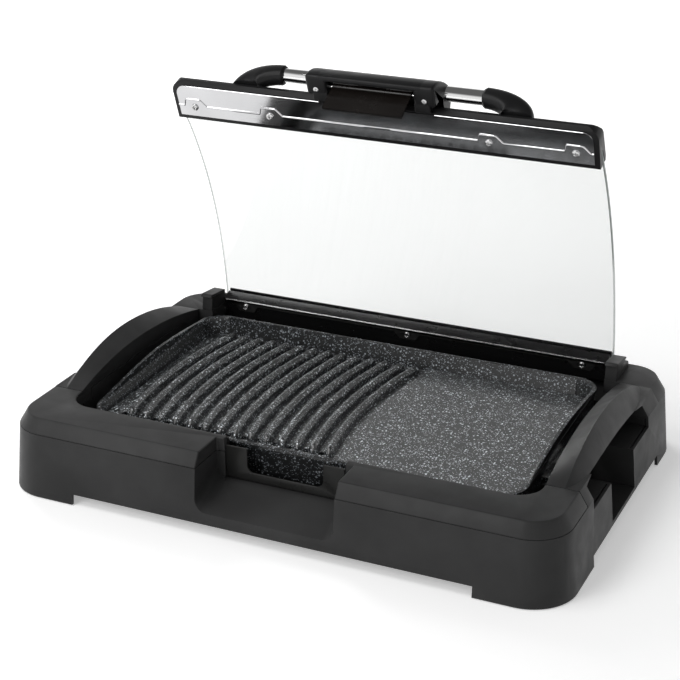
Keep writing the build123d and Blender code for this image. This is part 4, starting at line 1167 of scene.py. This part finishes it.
@dataclass
class Studio:
    """Camera, lamps, world and floor.

    The sky's strength falls from the horizon's to the dusk's between two heights of the view direction, and
    the floor's glow grows between two distances in metres.
    """

    azimuth: float = 24.757
    elevation: float = 23.128
    roll: float = -0.276
    focal_px: float = 1704.7
    distance: float = 1669.1
    target: Place = (-8.73, 0.0, 132.16)
    image_px: float = 680.0
    sensor_mm: float = 36.0
    far_m: float = 50.0
    floor_half: float = 6.0
    sky_light: float = 0.30
    sky_dusk: float = 0.14
    sky_horizon: float = 1.0
    sky_fall: tuple[float, float] = (0.3, 0.7)
    floor_white: float = 0.92
    glow_near: float = 0.36
    glow_far: float = 0.66
    glow_growth: tuple[float, float] = (0.4, 2.4)
    lamp_aim: Place = (0.0, 0.0, 0.1)
    lamps: tuple[Lamp, ...] = (Lamp("top_softbox", (-0.75, -0.75, 1.9), 0.9, 11.0),
                               Lamp("back_softbox", (-1.4, 1.2, 1.4), 1.0, 19.0, False),
                               Lamp("front_softbox", (-0.9, -2.0, 1.5), 1.2, 20.0))

    def camera(self) -> None:
        """Place the camera from its azimuth, elevation, roll and distance."""
        azimuth, elevation, roll = (math.radians(v) for v in (self.azimuth, self.elevation, self.roll))
        back = Vector((math.sin(azimuth) * math.cos(elevation), -math.cos(azimuth) * math.cos(elevation),
                       math.sin(elevation)))
        right = Vector((math.cos(azimuth), math.sin(azimuth), 0.0))
        up = back.cross(right)
        turned_right = right * math.cos(roll) + up * math.sin(roll)
        turned_up = up * math.cos(roll) - right * math.sin(roll)
        data = bpy.data.cameras.new("camera")
        data.sensor_width = self.sensor_mm
        data.lens = self.focal_px / self.image_px * self.sensor_mm
        data.clip_end = self.far_m
        camera = linked("camera", data)
        matrix = Matrix((turned_right, turned_up, back)).transposed().to_4x4()
        matrix.translation = (Vector(self.target) + back * self.distance) * MM
        camera.matrix_world = matrix
        bpy.context.scene.camera = camera

    def sky(self) -> None:
        """World: white to the camera, a gradient to mirror and see-through rays, a soft light to others."""
        net = Wiring("sky", world=True)
        split = net.add("ShaderNodeSeparateXYZ")
        net.join(net.where, "Generated", split, "Vector")
        height = net.spread(split, "Z", self.sky_horizon, self.sky_dusk, *self.sky_fall)
        height.interpolation_type = "SMOOTHSTEP"
        gloss = net.add("ShaderNodeMix", {2: self.sky_light})
        net.join(*net.rays("Glossy", "Transmission"), gloss, 0)
        net.join(height, "Result", gloss, 3)
        strength = net.add("ShaderNodeMix", {3: 1.0})
        net.join(*net.rays("Camera"), strength, 0)
        net.join(gloss, 0, strength, 2)
        light = net.add("ShaderNodeBackground", {"Color": WHITE})
        net.join(strength, 0, light, "Strength")
        bpy.context.scene.world = net.surface(light)

    def floor(self) -> None:
        """White floor that takes the grill's soft shadow and glows to the rays that see it."""
        half = self.floor_half
        mesh = bpy.data.meshes.new("floor")
        mesh.from_pydata([(-half, -half, 0.0), (half, -half, 0.0), (half, half, 0.0), (-half, half, 0.0)], [],
                         [(0, 1, 2, 3)])
        net = Wiring("floor_white")
        diffuse = net.add("ShaderNodeBsdfDiffuse", {"Color": (*[self.floor_white] * 3, 1.0)})
        glow = net.add("ShaderNodeEmission", {"Color": WHITE})
        reach = net.add("ShaderNodeVectorMath", operation="LENGTH")
        net.join(net.where, "Object", reach, "Vector")
        haze = net.spread(reach, "Value", self.glow_near, self.glow_far, *self.glow_growth)
        seen = net.rays("Camera", "Glossy", "Transmission")
        net.join(*net.combine("MULTIPLY", (haze, "Result"), seen), glow, "Strength")
        both = net.add("ShaderNodeAddShader")
        net.join(diffuse, 0, both, 0)
        net.join(glow, 0, both, 1)
        mesh.materials.append(net.surface(both))
        linked("floor", mesh)

    def build(self) -> None:
        """Make the whole studio."""
        bpy.context.scene.view_settings.view_transform = "Standard"
        self.camera()
        self.sky()
        self.floor()
        for lamp in self.lamps:
            lamp.hang(self.lamp_aim)


def main() -> None:
    """Build and dress the grill, piece by piece."""
    Studio().build()
    log.info("studio built")
    for finish, nodes in NODES_IN.items():
        for node in nodes:
            finish.dress(frame["nodes"][node])
    for assembly in (BaseShell, CookingPlate, GlassPane, RearRail, FrontRail, GripHandle, CatchFlap):
        assembly().build()
        log.info("%s built", assembly.__name__)


if __name__ == "__main__":
    logging.basicConfig(level=logging.INFO, format="%(message)s")
    main()
